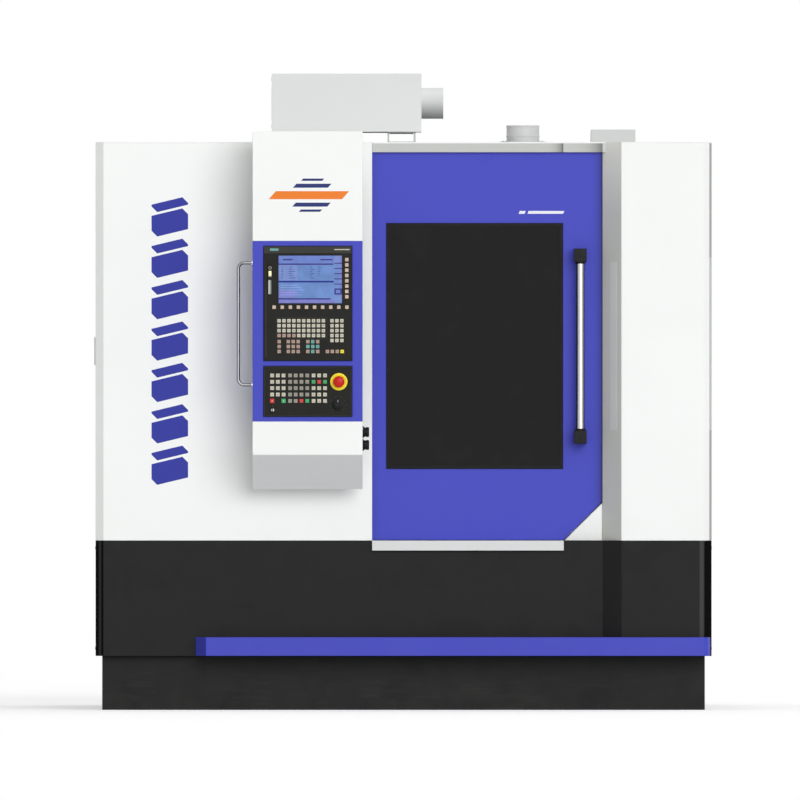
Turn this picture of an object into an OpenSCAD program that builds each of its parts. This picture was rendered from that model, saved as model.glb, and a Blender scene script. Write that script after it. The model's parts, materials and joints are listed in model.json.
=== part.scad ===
// CNC gear hobbing machine with a full enclosure.
// +X is to the operator's right, -Y is towards the operator and +Z is up.
// The floor is z = 0 and the origin is at the middle of the footprint.

/* [Enclosure] */
// Width over the covers
machine_w = 2156; // [1900:1:2400]
// Height of the roof above the floor
roof_z = 1988; // [1900:1:2200]
// Height of the plinth
plinth_h = 189; // [120:1:260]
// How far the plinth stands back from the covers at each side
plinth_inset = 23; // [10:1:60]
// Height of the top of the lower skirt
skirt_top = 593; // [560:1:640]
// Thickness of the sheet metal
sheet = 4; // [2:0.5:6]
// Width of the slanted front corners
corner = 28; // [10:1:60]
// Distance from the origin to the left cover's face
left_face = 860; // [840:1:900]
// How far the right cover stands ahead of the left one
right_step = 45; // [20:1:80]
// Distance from the origin to the rear wall
rear_face = 700; // [680:1:760]
// Length of the side return of each front cover
cover_return = 160; // [80:1:240]

/* [Accent strip] */
// Left end of the accent strip
strip_x0 = -728; // [-900:1:-400]
// Height of the accent strip
strip_h = 66; // [40:1:100]
// How far the strip stands ahead of the right cover
strip_proud = 40; // [20:1:60]

/* [Front door] */
// Left edge of the door's visible face
door_x0 = -110; // [-200:1:-60]
// Right edge of the door opening
door_x1 = 697; // [680:1:720]
// Top of the door's visible face
door_top = 1953; // [1850:1:1960]
// How far the door stands back from the left cover's face
door_recess = 45; // [35:1:60]
// Thickness of the door panel
door_t = 30; // [25:1:34]
// Gap between the door and the plate behind it
door_gap = 20; // [16:1:26]
// Length of the cut at the door's lower right corner
door_cut = 134; // [80:1:160]
// Travel of the door
door_travel = 640; // [500:1:660]
// Left edge of the window
window_x0 = -60; // [-70:1:0]
// Width of the window
window_w = 618; // [400:1:620]
// Bottom of the window
window_z0 = 844; // [780:1:1000]
// Height of the window
window_h = 860; // [500:1:900]
// Width of the window's gasket
gasket_w = 12; // [6:1:20]
// Thickness of the window pane
glass_t = 8; // [5:1:12]
// Place of the handle across the door
handle_x = 619; // [600:1:640]
// Bottom of the handle
handle_z0 = 932; // [850:1:1000]
// Length of the handle over its mounts
handle_len = 683; // [500:1:700]
// Diameter of the handle bar
handle_d = 30; // [20:1:36]
// Height of each handle mount
mount_h = 46; // [30:1:60]
// Width of each handle mount
mount_w = 44; // [40:1:50]
// Distance from the door's face to the bar's middle
handle_reach = 50; // [40:1:54]

/* [Console] */
// Left side of the console
console_x0 = -527; // [-560:1:-500]
// Width of the console
console_w = 384; // [350:1:400]
// Depth of the console
console_d = 190; // [150:1:220]
// Lowest point of the console
console_z0 = 773; // [760:1:800]
// Height of the slanted underside
console_slope = 121; // [60:1:140]
// Bottom of the centre cover
console_z1 = 1010; // [990:1:1020]
// Top of the centre cover
console_z2 = 1640; // [1630:1:1680]
// Top of the console
console_top = 2023; // [1900:1:2100]
// Distance between the console and the left cover
console_gap = 100; // [95:1:120]
// Tube diameter of the grab handle
grab_d = 12; // [8:1:16]
// Length of the grab handle
grab_len = 438; // [300:1:480]
// How far the grab handle stands out
grab_reach = 50; // [40:1:70]
// Height of the middle of the grab handle
grab_z = 1351; // [1250:1:1400]

/* [Panels] */
// Width of both panels
panel_w = 308; // [304:1:330]
// Height of the operator panel
panel_h = 400; // [396:1:405]
// Bottom of the operator panel
panel_z0 = 1222; // [1215:1:1230]
// Height of the control panel
control_h = 176; // [174:1:180]
// Bottom of the control panel
control_z0 = 1027; // [1022:1:1032]
// How far the panels stand out of the console
panel_proud = 6; // [4:1:10]
// Width of the operator keys
key_w = 14; // [10:1:15]
// Pitch of the operator keys
key_pitch = 17.2; // [16:0.1:17.3]
// How far the keys stand out
key_proud = 2; // [1:0.5:3]
// Width of the control keys
control_key_w = 15; // [10:1:17]
// Diameter of the emergency stop's collar
collar_d = 63; // [50:1:66]
// Diameter of the emergency stop's mushroom
mushroom_d = 41; // [30:1:46]
// Diameter of the override knob
override_d = 44; // [30:1:48]

/* [Roof units] */
// Left side of the mist collector
mist_x0 = -462; // [-500:1:-400]
// Width of the mist collector
mist_w = 525; // [450:1:560]
// Height of the mist collector
mist_h = 204; // [180:1:240]
// Height of the mist collector's feet
mist_foot_h = 38; // [20:1:60]
// Depth of the mist collector
mist_d = 500; // [400:1:560]
// Outer diameter of the mist collector's spigot
spigot_d = 107; // [80:1:125]
// Length of the spigot
spigot_len = 77; // [50:1:100]
// Outer diameter of the exhaust stub
stub_d = 115; // [90:1:140]
// Height of the exhaust stub
stub_h = 63; // [40:1:100]
// Distance from the right cover to the service box
service_inset = 259; // [200:1:360]
// Width of the service box
service_w = 157; // [100:1:200]
// Depth of the service box
service_d = 300; // [150:1:400]
// Height of the service box
service_h = 52; // [30:1:80]

/* [Machine] */
// Height of the bed's top
bed_z = 540; // [500:1:560]
// Place of the table's axis across the machine
table_x = 330; // [320:1:360]
// Place of the table's axis along the depth
table_y = -150; // [-180:1:-120]
// Diameter of the table
table_d = 300; // [240:1:304]
// Height of the table's top
table_z = 1000; // [980:1:1020]
// Diameter of the table's spindle
spindle_d = 160; // [100:1:180]
// Height of the work fixture
fixture_h = 180; // [100:1:185]
// Diameter of the hob
hob_d = 110; // [80:1:112]
// Length of the hob
hob_len = 180; // [120:1:190]
// Diameter of the hob arbor
arbor_d = 40; // [27:1:50]
// Distance from the hob's axis to the table's axis, head back
centre_distance = 400; // [390:1:440]
// Height of the hob's axis, head up
hob_z = 1360; // [1340:1:1380]
// Height of the live centre's tip, arm up
centre_z = 1360; // [1350:1:1400]

/* [Rear units] */
// Depth of the electrical cabinet
cabinet_d = 400; // [300:1:420]
// Gap between the electrical cabinet and the coolant tank
unit_gap = 138; // [60:1:200]
// Top of the electrical cabinet
cabinet_top = 1900; // [1600:1:1950]
// Depth of the coolant tank
tank_d = 480; // [400:1:500]
// Width of the coolant tank
tank_w = 1150; // [900:1:1200]
// Height of the coolant tank
tank_h = 480; // [350:1:560]

/* [Hidden] */
$fn = 64;

// Clearances
run = 0.05;        // radial clearance of a shaft that turns in its bore
free = 0.3;        // gap between pieces that move past each other
seat = 0.1;        // radial clearance of a fixed pin in its socket
eps = 1;           // how far a cutter runs past the face that it cuts

// Places that follow from the sizes above
half_w = machine_w / 2;
left_y = -left_face;
right_y = left_y - right_step;
door_front = left_y + door_recess;
door_back = door_front + door_t;
frame_y = door_back + door_gap;
flank_w = 66;
flank_x = door_x1 + flank_w;
return_y = left_y + cover_return;
roof_under = roof_z - sheet;
strip_y = right_y - strip_proud;

door_z0 = skirt_top + 2;
door_edge = door_x1 - 2;
door_hidden = 40;
door_hidden_top = 9;
opening_x0 = window_x0 - 20;
opening_x1 = door_x1 - 47;
opening_z0 = skirt_top + 57;
opening_z1 = door_top - 63;
opening_cut = 100;
rail_t = 12;
rail_h = 20;
rail_x0 = door_x0 - door_hidden - door_travel;
rail_zs = [skirt_top + 24, door_top - 33];
shoe_len = 90;
shoe_lip = 8;
sill_x1 = door_edge - door_cut;
sill_h = 35;
sill_proud = 15;
sill_y = left_y - sill_proud;
lip_end = left_y + door_recess - 20;
fascia_y = door_front - 15;

console_x1 = console_x0 + console_w;
console_back = left_y - console_gap;
console_front = console_back - console_d;
pivot_x = console_x1 - 47;
pivot_y = left_y - 50;
pivot_d = 50;
knuckle_d = 80;
knuckle_h = 60;
grab_bend = 20;
grab_inset = 70;
cap_d = 35;
cap_len = 23;
cap_inset = 50;
cap_zs = [console_z1 - 82, console_z1 - 37];
panel_x0 = console_x0 + (console_w - panel_w) / 2 + 1;
panel_y = console_front - panel_proud;
panel_back = console_front + 20;
shell = 4;

panel_unit = panel_w / 308;
panel_unit_z = panel_h / 400;
screen_w = 221 * panel_unit;
screen_h = 166 * panel_unit_z;
screen_x0 = panel_x0 + 52 * panel_unit;
screen_z0 = panel_z0 + 201 * panel_unit_z;
key_groups = [  // middle of the lower left key, columns, rows, pitch
    [[290, 223.5], 1, 8, 18.5],
    [[36.5, 187], 10, 1, 28.2],
    [[53.6, 88], 10, 4, key_pitch],
    [[238.4, 70.8], 3, 5, key_pitch],
    [[54, 32.4], 1, 3, key_pitch],
    [[86, 32.4], 3, 3, key_pitch],
    [[154, 32.4], 3, 3, key_pitch],
    [[222.4, 32.4], 4, 1, key_pitch]
];
stop_at = [262.3, 121.7];
override_at = [259, 44];
lock_at = [31, 23];
card_at = [14, 230];
card_size = [14, 105];
control_rows = [for (i = [0:4]) 54.9 + 22.2 * i];
control_columns = [29.5, 49.4, 69.4, 92.1, 111.7, 131.7, 152, 174, 193.6, 214];
stop_travel = 4;
key_travel = 1.5;
stem_d = 16;
plug_d = 12;
axle_d = 6;
key_stem_w = 8;

mist_y0 = left_y + 260;
mist_z0 = roof_z + mist_foot_h;
mist_foot_w = 98;
mist_foot_left = 51;
mist_foot_right = 21;
mist_foot_wall = 8;
mist_mid_z = mist_z0 + mist_h / 2;
mist_mid_y = mist_y0 + mist_d / 2;
stub_x = 420;
stub_y = -300;
stub_wall = 3;
service_x0 = half_w - service_inset - service_w;
service_y0 = 100;

// The moving pieces of the machine, from the table's axis outwards
hob_x = table_x - centre_distance;
slide_base = hob_x - hob_d / 2 - 5;
shift_t = 80;
disc_t = 60;
saddle_t = 60;
head_x = slide_base - shift_t;
saddle_x = head_x - disc_t;
column_face = saddle_x - saddle_t;
column_w = 390;
column_d = 520;
column_top = 1750;
block_d = 140;
block_w = 90;
block_y = hob_len / 2 + 12;
shift_half = 260;
way_h = 30;
housing_d = 320;
table_t = 90;
spindle_len = 260;
counter_y = table_y + 280;
counter_d = 350;
counter_w = 330;
carriage_w = 300;
guide_w = 60;
counter_top = 1800;
arm_h = 150;
arm_w = 200;
carriage_t = 40;
carriage_over = 60;
quill_d = 60;
centre_len = 90;

plinth_top = plinth_h;
bed_z0 = 40;
bed_x0 = -900;
bed_x1 = 640;
bed_y0 = -520;
bed_y1 = 520;
foot_xs = [bed_x0 + 90, (bed_x0 + bed_x1) / 2, bed_x1 - 90];
foot_ys = [bed_y0 + 80, bed_y1 - 80];

tank_x1 = half_w - 40;
tank_x0 = tank_x1 - tank_w;
pump_inset = 200;
pump_pitch = 220;
pump_xs = [tank_x0 + pump_inset, tank_x0 + pump_inset + pump_pitch];
pump_y = rear_face + tank_d - 130;
pump_d = 130;
pump_h = 230;
pump_reach = 420;
pump_flange_t = 16;
pump_flange_lip = 15;
pump_neck = 10;

cabinet_x0 = -half_w + 28;
cabinet_x1 = tank_x0 - unit_gap;
cabinet_y1 = rear_face + cabinet_d;
cabinet_z0 = 100;
cabinet_door_t = 20;
cabinet_hinges = [cabinet_z0 + 200, cabinet_top - 260];
switch_z = 1450;
switch_inset = 110;
cabinet_door_y = cabinet_y1 + cabinet_door_t + 1;

side_y0 = -350;
side_y1 = 250;
side_z0 = 800;
side_z1 = 1800;
hinge_len = 60;
side_hinges = [side_z0 + 120, side_z1 - 120 - hinge_len];
grip_z = 1208;
grip_len = 98;
grip_proud = 10;
hinge_d = 12;
hinge_pin_d = 6;

WHITE = "whitesmoke";
BLACK = "#2e2e2e";
BLUE = "#5157c5";
STEEL = "silver";
CAST = "#6f7a7d";
GRAY = "#d1d3d2";

// A box between two corners
module block(x, y, z)
    translate([x[0], y[0], z[0]])
        cube([x[1] - x[0], y[1] - y[0], z[1] - z[0]]);

// A flat outline in X and Z, between two depths
module facing(y)
    translate([0, y[1], 0])
        rotate([90, 0, 0])
            linear_extrude(y[1] - y[0])
                children();

// An outline in plan, between two heights
module standing(z)
    translate([0, 0, z[0]])
        linear_extrude(z[1] - z[0])
            children();

// A side profile in Y and Z, between two places across the machine
module across(x)
    translate([x[0], 0, 0])
        rotate([90, 0, 90])
            linear_extrude(x[1] - x[0])
                children();

module rod_x(x, y, z, d)
    translate([x[0], y, z])
        rotate([0, 90, 0])
            cylinder(d = d, h = x[1] - x[0]);

module rod_y(x, y, z, d)
    translate([x, y[1], z])
        rotate([90, 0, 0])
            cylinder(d = d, h = y[1] - y[0]);

module rod_z(x, y, z, d)
    translate([x, y, z[0]])
        cylinder(d = d, h = z[1] - z[0]);

// A sheet that follows a path in plan, folded at each point
function unit(v) = v / norm(v);
function inward(v) = [-v[1], v[0]];
function side_of(path, i) = inward(unit(path[i + 1] - path[i]));
function mitre(path, i) =
    let (
        last = len(path) - 1,
        before = side_of(path, max(i - 1, 0)),
        after = side_of(path, min(i, last - 1)),
        middle = unit(before + after)
    )
    middle / (middle * before);
function folded(path, t) = concat(
    path,
    [for (i = [len(path) - 1:-1:0]) path[i] + t * mitre(path, i)]
);
module folded_sheet(path, z)
    standing(z)
        polygon(folded(path, sheet));

// The front outlines, from left to right
left_path = [
    [-half_w, return_y],
    [-half_w, left_y + corner],
    [-half_w + corner, left_y],
    [door_x0, left_y],
    [door_x0, lip_end]
];
right_path = [
    [door_x1, frame_y + sheet],
    [door_x1, door_front],
    [flank_x, right_y],
    [half_w - corner, right_y],
    [half_w, right_y + corner],
    [half_w, return_y]
];
skirt_path = [
    [-half_w, rear_face],
    [-half_w, left_y + corner],
    [-half_w + corner, left_y],
    [door_x1, left_y],
    [flank_x, right_y],
    [half_w - corner, right_y],
    [half_w, right_y + corner],
    [half_w, rear_face]
];

// Two leaves of a butt hinge on a vertical axis, one above the other
module hinge_pin(x, y, z) {
    rod_z(x, y, [z, z + hinge_len / 2 - free], hinge_d);
    rod_z(x, y, [z, z + hinge_len], hinge_pin_d);
}
module hinge_eye(x, y, z)
    rod_z(x, y, [z + hinge_len / 2, z + hinge_len], hinge_d);
module hinge_bore(x, y, z)
    rod_z(x, y, [z + hinge_len / 2 - eps, z + hinge_len + eps], hinge_pin_d + 2 * run);
module hinge_room(x, y, z)
    rod_z(x, y, [z - free, z + hinge_len + free], hinge_d + 2 * free);

// ---- Base and enclosure ----

module levelling_feet()
    color(STEEL)
        for (x = foot_xs, y = foot_ys) {
            rod_z(x, y, [0, 18], 120);
            rod_z(x, y, [18, bed_z0], 36);
        }

module base_plinth() {
    w = half_w - plinth_inset;
    y = [left_y + 40, rear_face - 10];
    color(BLACK)
        difference() {
            block([-w, w], y, [0, plinth_top]);
            block([-w + 6, w - 6], [y[0] + 6, y[1] - 6], [-eps, plinth_top - 6]);
            block([-w + 46, w - 46], [y[0] + 46, y[1] - 46], [plinth_top - 7, plinth_top + eps]);
        }
}

module machine_bed() {
    ways_x = [bed_x0 + 20, hob_x - 30];
    color(CAST)
        difference() {
            union() {
                block([bed_x0, bed_x1], [bed_y0, bed_y1], [bed_z0, bed_z - 60]);
                block(ways_x, [table_y - 250, table_y + 250], [bed_z - 60, bed_z]);
                for (y = [table_y - 250, table_y + 170])
                    block(ways_x, [y, y + 80], [bed_z, bed_z + way_h]);
                block([table_x - 200, table_x + 200], [table_y - 200, table_y + 200],
                      [bed_z - 60, bed_z + 160]);
                rod_z(table_x, table_y, [bed_z + 160, table_z - table_t - free], housing_d);
                block([table_x - counter_w / 2, table_x + counter_w / 2],
                      [counter_y, counter_y + counter_d], [bed_z - 60, bed_z]);
            }
            rod_z(table_x, table_y,
                  [table_z - table_t - spindle_len - 10, table_z], spindle_d + 2 * run);
            for (i = [0:3])
                block([bed_x0 + 180 + 340 * i, bed_x0 + 380 + 340 * i],
                      [bed_y0 - eps, bed_y1 + eps], [160, 360]);
        }
}

module lower_skirt()
    color(BLACK)
        difference() {
            union() {
                folded_sheet(skirt_path, [plinth_top, skirt_top]);
                block([-half_w + corner + sheet, door_x1], [left_y + sheet, frame_y],
                      [skirt_top - sheet, skirt_top]);
                standing([plinth_top, plinth_top + sheet])
                    difference() {
                        polygon(skirt_path);
                        translate([-half_w + 80, left_y + 95])
                            square([machine_w - 160, rear_face - left_y]);
                    }
            }
            block([door_x0 - free, sill_x1 + free], [right_y, frame_y + eps],
                  [skirt_top - sill_h - free, skirt_top + eps]);
        }

module accent_strip() {
    tip = 14;
    color(BLUE)
        standing([plinth_top + sheet / 4, plinth_top + strip_h])
            polygon([
                [strip_x0, left_y],
                [strip_x0 + 37, strip_y],
                [half_w - corner, strip_y],
                [half_w - corner + tip, strip_y + tip / 2],
                [half_w - 5, strip_y + 2 * tip],
                [half_w - 5, right_y + corner - 5],
                [half_w - corner, right_y],
                [flank_x, right_y],
                [door_x1, left_y]
            ]);
}

module left_front_cover()
    color(WHITE)
        folded_sheet(left_path, [skirt_top, roof_under]);

module right_front_cover()
    color(WHITE)
        folded_sheet(right_path, [skirt_top, roof_under]);

module door_frame()
    color(WHITE)
        facing([frame_y, frame_y + sheet])
            difference() {
                translate([-half_w + sheet, skirt_top])
                    square([door_x1 + half_w - sheet, roof_under - skirt_top]);
                polygon([
                    [opening_x0, opening_z0],
                    [opening_x1 - opening_cut, opening_z0],
                    [opening_x1, opening_z0 + opening_cut],
                    [opening_x1, opening_z1],
                    [opening_x0, opening_z1]
                ]);
            }

module door_sill()
    color(WHITE) {
        block([door_x0, sill_x1], [sill_y, frame_y], [skirt_top - sheet, skirt_top]);
        block([door_x0, sill_x1], [sill_y, sill_y + sheet], [skirt_top - sill_h, skirt_top - sheet]);
    }

module door_rails()
    color(STEEL)
        for (z = rail_zs)
            block([rail_x0, door_x1 - 20], [frame_y - rail_t, frame_y], [z, z + rail_h]);

module left_side_wall()
    color(WHITE)
        union() {
            difference() {
                block([-half_w, -half_w + sheet], [return_y, rear_face],
                      [skirt_top, roof_under]);
                block([-half_w - eps, -half_w + sheet + eps], [side_y0, side_y1],
                      [side_z0, side_z1]);
                for (z = side_hinges)
                    hinge_room(-half_w, side_y1, z);
            }
            for (z = side_hinges) {
                block([-half_w, -half_w + sheet], [side_y1, side_y1 + hinge_d],
                      [z, z + hinge_len / 2 - free]);
                hinge_pin(-half_w, side_y1, z);
            }
        }

module left_side_door() {
    color(WHITE)
        difference() {
            union() {
                difference() {
                    block([-half_w, -half_w + sheet], [side_y0 + 3, side_y1 - 3],
                          [side_z0 + 3, side_z1 - 3]);
                    for (z = side_hinges)
                        hinge_room(-half_w, side_y1, z);
                }
                for (z = side_hinges) {
                    hinge_eye(-half_w, side_y1, z);
                    block([-half_w, -half_w + sheet], [side_y1 - hinge_d, side_y1],
                          [z + hinge_len / 2, z + hinge_len]);
                }
                block([-half_w - grip_proud, -half_w], [side_y0 + 40, side_y0 + 54],
                      [grip_z, grip_z + grip_len]);
            }
            for (z = side_hinges)
                hinge_bore(-half_w, side_y1, z);
        }
}

module right_side_wall()
    color(WHITE)
        union() {
            block([half_w - sheet, half_w], [return_y, rear_face], [skirt_top, roof_under]);
            block([half_w, half_w + 2], [return_y + 60, rear_face - 120], [890, 1570]);
        }

module roof_panel()
    color(WHITE)
        difference() {
            union() {
                standing([roof_under, roof_z])
                    polygon([
                        [-half_w, rear_face],
                        [-half_w, left_y + corner],
                        [-half_w + corner, left_y],
                        [door_x0, left_y],
                        [door_x0, fascia_y],
                        [door_x1 + flank_w * (door_front - fascia_y) / (door_front - right_y),
                         fascia_y],
                        [flank_x, right_y],
                        [half_w - corner, right_y],
                        [half_w, right_y + corner],
                        [half_w, rear_face]
                    ]);
                block([door_x0 + sheet + free, door_x1 - free],
                      [fascia_y, fascia_y + sheet], [door_top, roof_under]);
            }
            rod_z(stub_x, stub_y, [roof_under - eps, roof_z + eps], stub_d - 2 * stub_wall);
        }

module rear_wall()
    color(WHITE)
        block([-half_w, half_w], [rear_face, rear_face + sheet], [plinth_top, roof_z]);

module splash_guards()
    color(STEEL) {
        block([bed_x1 - sheet, bed_x1], [frame_y + sheet, bed_y1], [bed_z - 60, roof_under]);
        across([opening_x0, bed_x1 - sheet])
            polygon([
                [frame_y + sheet, skirt_top],
                [frame_y + sheet, skirt_top + sheet],
                [bed_y0, bed_z - 60 + sheet],
                [bed_y0, bed_z - 60]
            ]);
    }

// ---- Front door ----

module door_outline()
    polygon([
        [door_x0 - door_hidden, door_z0],
        [door_edge - door_cut, door_z0],
        [door_edge, door_z0 + door_cut],
        [door_edge, door_top + door_hidden_top],
        [door_x0 - door_hidden, door_top + door_hidden_top]
    ]);

module window_area(edge)
    translate([window_x0 + edge, window_z0 + edge])
        square([window_w - 2 * edge, window_h - 2 * edge]);

module door_shoe(x, z)
    difference() {
        block([x, x + shoe_len], [door_back, frame_y - 3],
              [z - shoe_lip, z + rail_h + shoe_lip]);
        block([x - eps, x + shoe_len + eps], [frame_y - rail_t - free, frame_y],
              [z - free, z + rail_h + free]);
    }

module door_panel()
    color(BLUE)
        union() {
            facing([door_front, door_back])
                difference() {
                    door_outline();
                    window_area(0);
                }
            for (z = rail_zs, x = [door_x0 - door_hidden + 20, sill_x1 - shoe_len - 20])
                door_shoe(x, z);
        }

module door_gasket()
    color(BLACK)
        facing([door_front - 2, door_back - 5])
            difference() {
                window_area(0);
                window_area(gasket_w);
            }

module door_window()
    color(BLACK)
        facing([door_front + 6, door_front + 6 + glass_t])
            window_area(gasket_w);

module door_handle_mounts() {
    y = door_front - handle_reach;
    color(BLACK)
        for (z = [handle_z0, handle_z0 + handle_len - mount_h])
            difference() {
                block([handle_x - mount_w / 2, handle_x + mount_w / 2],
                      [y - mount_w / 2, door_front], [z, z + mount_h]);
                rod_z(handle_x, y, [handle_z0 + mount_h / 2, handle_z0 + handle_len - mount_h / 2],
                      handle_d + 2 * seat);
            }
}

module door_handle_bar()
    color(STEEL)
        rod_z(handle_x, door_front - handle_reach,
              [handle_z0 + mount_h / 2, handle_z0 + handle_len - mount_h / 2], handle_d);

// ---- Operator console ----

module console_bracket() {
    z = [console_z1 - 30, console_z2 + 200];
    color(BLACK) {
        rod_z(pivot_x, pivot_y, z, pivot_d);
        for (at = [z[0], z[1] - 30])
            block([pivot_x - 20, pivot_x + 20], [pivot_y, left_y - 8], [at, at + 30]);
        block([pivot_x - 35, pivot_x + 35], [left_y - 8, left_y], [z[0] - 20, z[1] + 20]);
    }
}

module console_shell(z)
    difference() {
        block([console_x0, console_x1], [console_front, console_back], z);
        block([console_x0 + shell, console_x1 - shell],
              [console_front + shell, console_back - shell], [z[0] - eps, z[1] + eps]);
    }

module console_top_cover()
    color(WHITE)
        union() {
            console_shell([console_z2, console_top - shell]);
            block([console_x0, console_x1], [console_front, console_back],
                  [console_top - shell, console_top]);
        }

module console_bottom_cover()
    color(WHITE)
        difference() {
            across([console_x0, console_x1])
                polygon([
                    [console_front, console_z1],
                    [console_front, console_z0 + console_slope],
                    [console_back - 2, console_z0],
                    [console_back, console_z0],
                    [console_back, console_z1]
                ]);
            across([console_x0 + shell, console_x1 - shell])
                polygon([
                    [console_front + shell, console_z1 + eps],
                    [console_front + shell, console_z0 + console_slope + shell],
                    [console_back - shell, console_z0 + 2 * shell],
                    [console_back - shell, console_z1 + eps]
                ]);
        }

module console_centre_cover() {
    knuckles = [console_z1 + 60, console_z2 - 60 - knuckle_h];
    color(BLUE)
        difference() {
            union() {
                console_shell([console_z1, console_z2]);
                for (z = knuckles) {
                    block([pivot_x - 30, pivot_x + 30], [console_back, pivot_y], [z, z + knuckle_h]);
                    rod_z(pivot_x, pivot_y, [z, z + knuckle_h], knuckle_d);
                }
            }
            for (z = knuckles)
                rod_z(pivot_x, pivot_y, [z - eps, z + knuckle_h + eps], pivot_d + 2 * run);
            block([panel_x0 - free, panel_x0 + panel_w + free],
                  [console_front - eps, console_front + shell + eps],
                  [panel_z0 - free, panel_z0 + panel_h + free]);
            block([panel_x0 - free, panel_x0 + panel_w + free],
                  [console_front - eps, console_front + shell + eps],
                  [control_z0 - free, control_z0 + control_h + free]);
        }
}

module grab_handle() {
    bend = grab_bend;
    x = console_x0 - grab_reach;
    y = console_front + grab_inset;
    z = [grab_z - grab_len / 2 + grab_d / 2, grab_z + grab_len / 2 - grab_d / 2];
    color(STEEL) {
        rod_z(x, y, [z[0] + bend, z[1] - bend], grab_d);
        for (at = z)
            rod_x([x + bend, console_x0], y, at, grab_d);
        translate([x + bend, y, z[0] + bend])
            rotate([90, 0, 0])
                rotate([0, 0, 180])
                    rotate_extrude(angle = 90)
                        translate([bend, 0])
                            circle(d = grab_d);
        translate([x + bend, y, z[1] - bend])
            rotate([90, 0, 0])
                rotate([0, 0, 90])
                    rotate_extrude(angle = 90)
                        translate([bend, 0])
                            circle(d = grab_d);
    }
}

module connector_caps()
    color(BLACK)
        for (z = cap_zs)
            rod_x([console_x1, console_x1 + cap_len], console_front + cap_inset, z, cap_d);

module operator_panel() {
    card_x = panel_x0 + card_at[0];
    card_z = panel_z0 + card_at[1];
    color(BLACK)
        difference() {
            block([panel_x0, panel_x0 + panel_w], [panel_y, panel_back],
                  [panel_z0, panel_z0 + panel_h]);
            block([screen_x0 - free, screen_x0 + screen_w + free], [panel_y - eps, panel_y + 4],
                  [screen_z0 - free, screen_z0 + screen_h + free]);
            block([card_x - 1, card_x + card_size[0] + 1], [panel_y - eps, panel_y + 8],
                  [card_z - 1, card_z + card_size[1] + 1]);
            rod_z(card_x + 1.5, panel_y + 1.5,
                  [card_z - 4, card_z + card_size[1] + 4], 2 + 2 * run);
        }
}

module card_door() {
    x = panel_x0 + card_at[0];
    z = panel_z0 + card_at[1];
    color(BLACK) {
        block([x + 1.5, x + card_size[0]], [panel_y, panel_y + 3], [z, z + card_size[1]]);
        rod_z(x + 1.5, panel_y + 1.5, [z, z + card_size[1]], 3);
        rod_z(x + 1.5, panel_y + 1.5, [z - 3.5, z + card_size[1] + 3.5], 2);
    }
}

module operator_screen()
    color("#6a8fd0")
        block([screen_x0, screen_x0 + screen_w], [panel_y + 1, panel_y + 4],
              [screen_z0, screen_z0 + screen_h]);

module operator_keys()
    color("beige")
        for (group = key_groups, i = [0:group[1] - 1], j = [0:group[2] - 1])
            translate([
                panel_x0 + (group[0][0] + i * group[3]) * panel_unit - key_w / 2,
                panel_y - key_proud,
                panel_z0 + (group[0][1] + j * group[3]) * panel_unit_z - key_w / 2
            ])
                cube([key_w, key_proud, key_w]);

module control_panel() {
    x = panel_x0;
    z = control_z0;
    cut = [panel_y - eps, panel_back + eps];
    color(BLACK)
        difference() {
            block([x, x + panel_w], [panel_y, panel_back], [z, z + control_h]);
            rod_y(x + stop_at[0], cut, z + stop_at[1], stem_d + 2 * run);
            rod_y(x + override_at[0], cut, z + override_at[1], axle_d + 2 * run);
            rod_y(x + lock_at[0], cut, z + lock_at[1], plug_d + 2 * run);
            for (i = [0, 2])
                block([x + control_columns[i] - key_stem_w / 2 - free,
                       x + control_columns[i] + key_stem_w / 2 + free], cut,
                      [z + control_rows[0] - key_stem_w / 2 - free,
                       z + control_rows[0] + key_stem_w / 2 + free]);
        }
}

module control_keys()
    color("beige") {
        for (i = [0:9], j = [0:4])
            if (i > 2 || j > 0)
                translate([
                    panel_x0 + control_columns[i] - control_key_w / 2,
                    panel_y - key_proud,
                    control_z0 + control_rows[j] - control_key_w / 2
                ])
                    cube([control_key_w, key_proud, control_key_w]);
        difference() {
            rod_y(panel_x0 + stop_at[0], [panel_y - 3, panel_y], control_z0 + stop_at[1], collar_d);
            rod_y(panel_x0 + stop_at[0], [panel_y - 4, panel_y + eps],
                  control_z0 + stop_at[1], stem_d + 4);
        }
    }

module travelling_key(i) {
    x = panel_x0 + control_columns[i];
    z = control_z0 + control_rows[0];
    cap_y = panel_y - free - key_travel;
    block([x - control_key_w / 2, x + control_key_w / 2], [cap_y - key_proud, cap_y],
          [z - control_key_w / 2, z + control_key_w / 2]);
    block([x - key_stem_w / 2, x + key_stem_w / 2], [cap_y, panel_y + 12],
          [z - key_stem_w / 2, z + key_stem_w / 2]);
}

module stop_key()
    color("red")
        travelling_key(0);

module start_key()
    color("limegreen")
        travelling_key(2);

module estop_button() {
    x = panel_x0 + stop_at[0];
    z = control_z0 + stop_at[1];
    y = panel_y - 3 - free - stop_travel;
    color("crimson") {
        rod_y(x, [y - 22, y - 6], z, mushroom_d);
        rod_y(x, [y - 6, y], z, mushroom_d - 10);
        rod_y(x, [y, panel_back - stop_travel - 2], z, stem_d);
    }
}

module override_knob() {
    x = panel_x0 + override_at[0];
    z = control_z0 + override_at[1];
    color(BLACK)
        union() {
            rod_y(x, [panel_y - 20, panel_y - free], z, override_d - 12);
            rod_y(x, [panel_y - 5, panel_y - free], z, override_d);
            rod_y(x, [panel_y - free, panel_back - 2], z, axle_d);
        }
}

module key_switch() {
    x = panel_x0 + lock_at[0];
    z = control_z0 + lock_at[1];
    color(STEEL)
        union() {
            rod_y(x, [panel_y - 3, panel_y - free], z, 18);
            rod_y(x, [panel_y - free, panel_back - 2], z, plug_d);
            block([x - 1.2, x + 1.2], [panel_y - 16, panel_y - 3], [z - 8, z + 8]);
        }
}

// ---- Roof units ----

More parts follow.
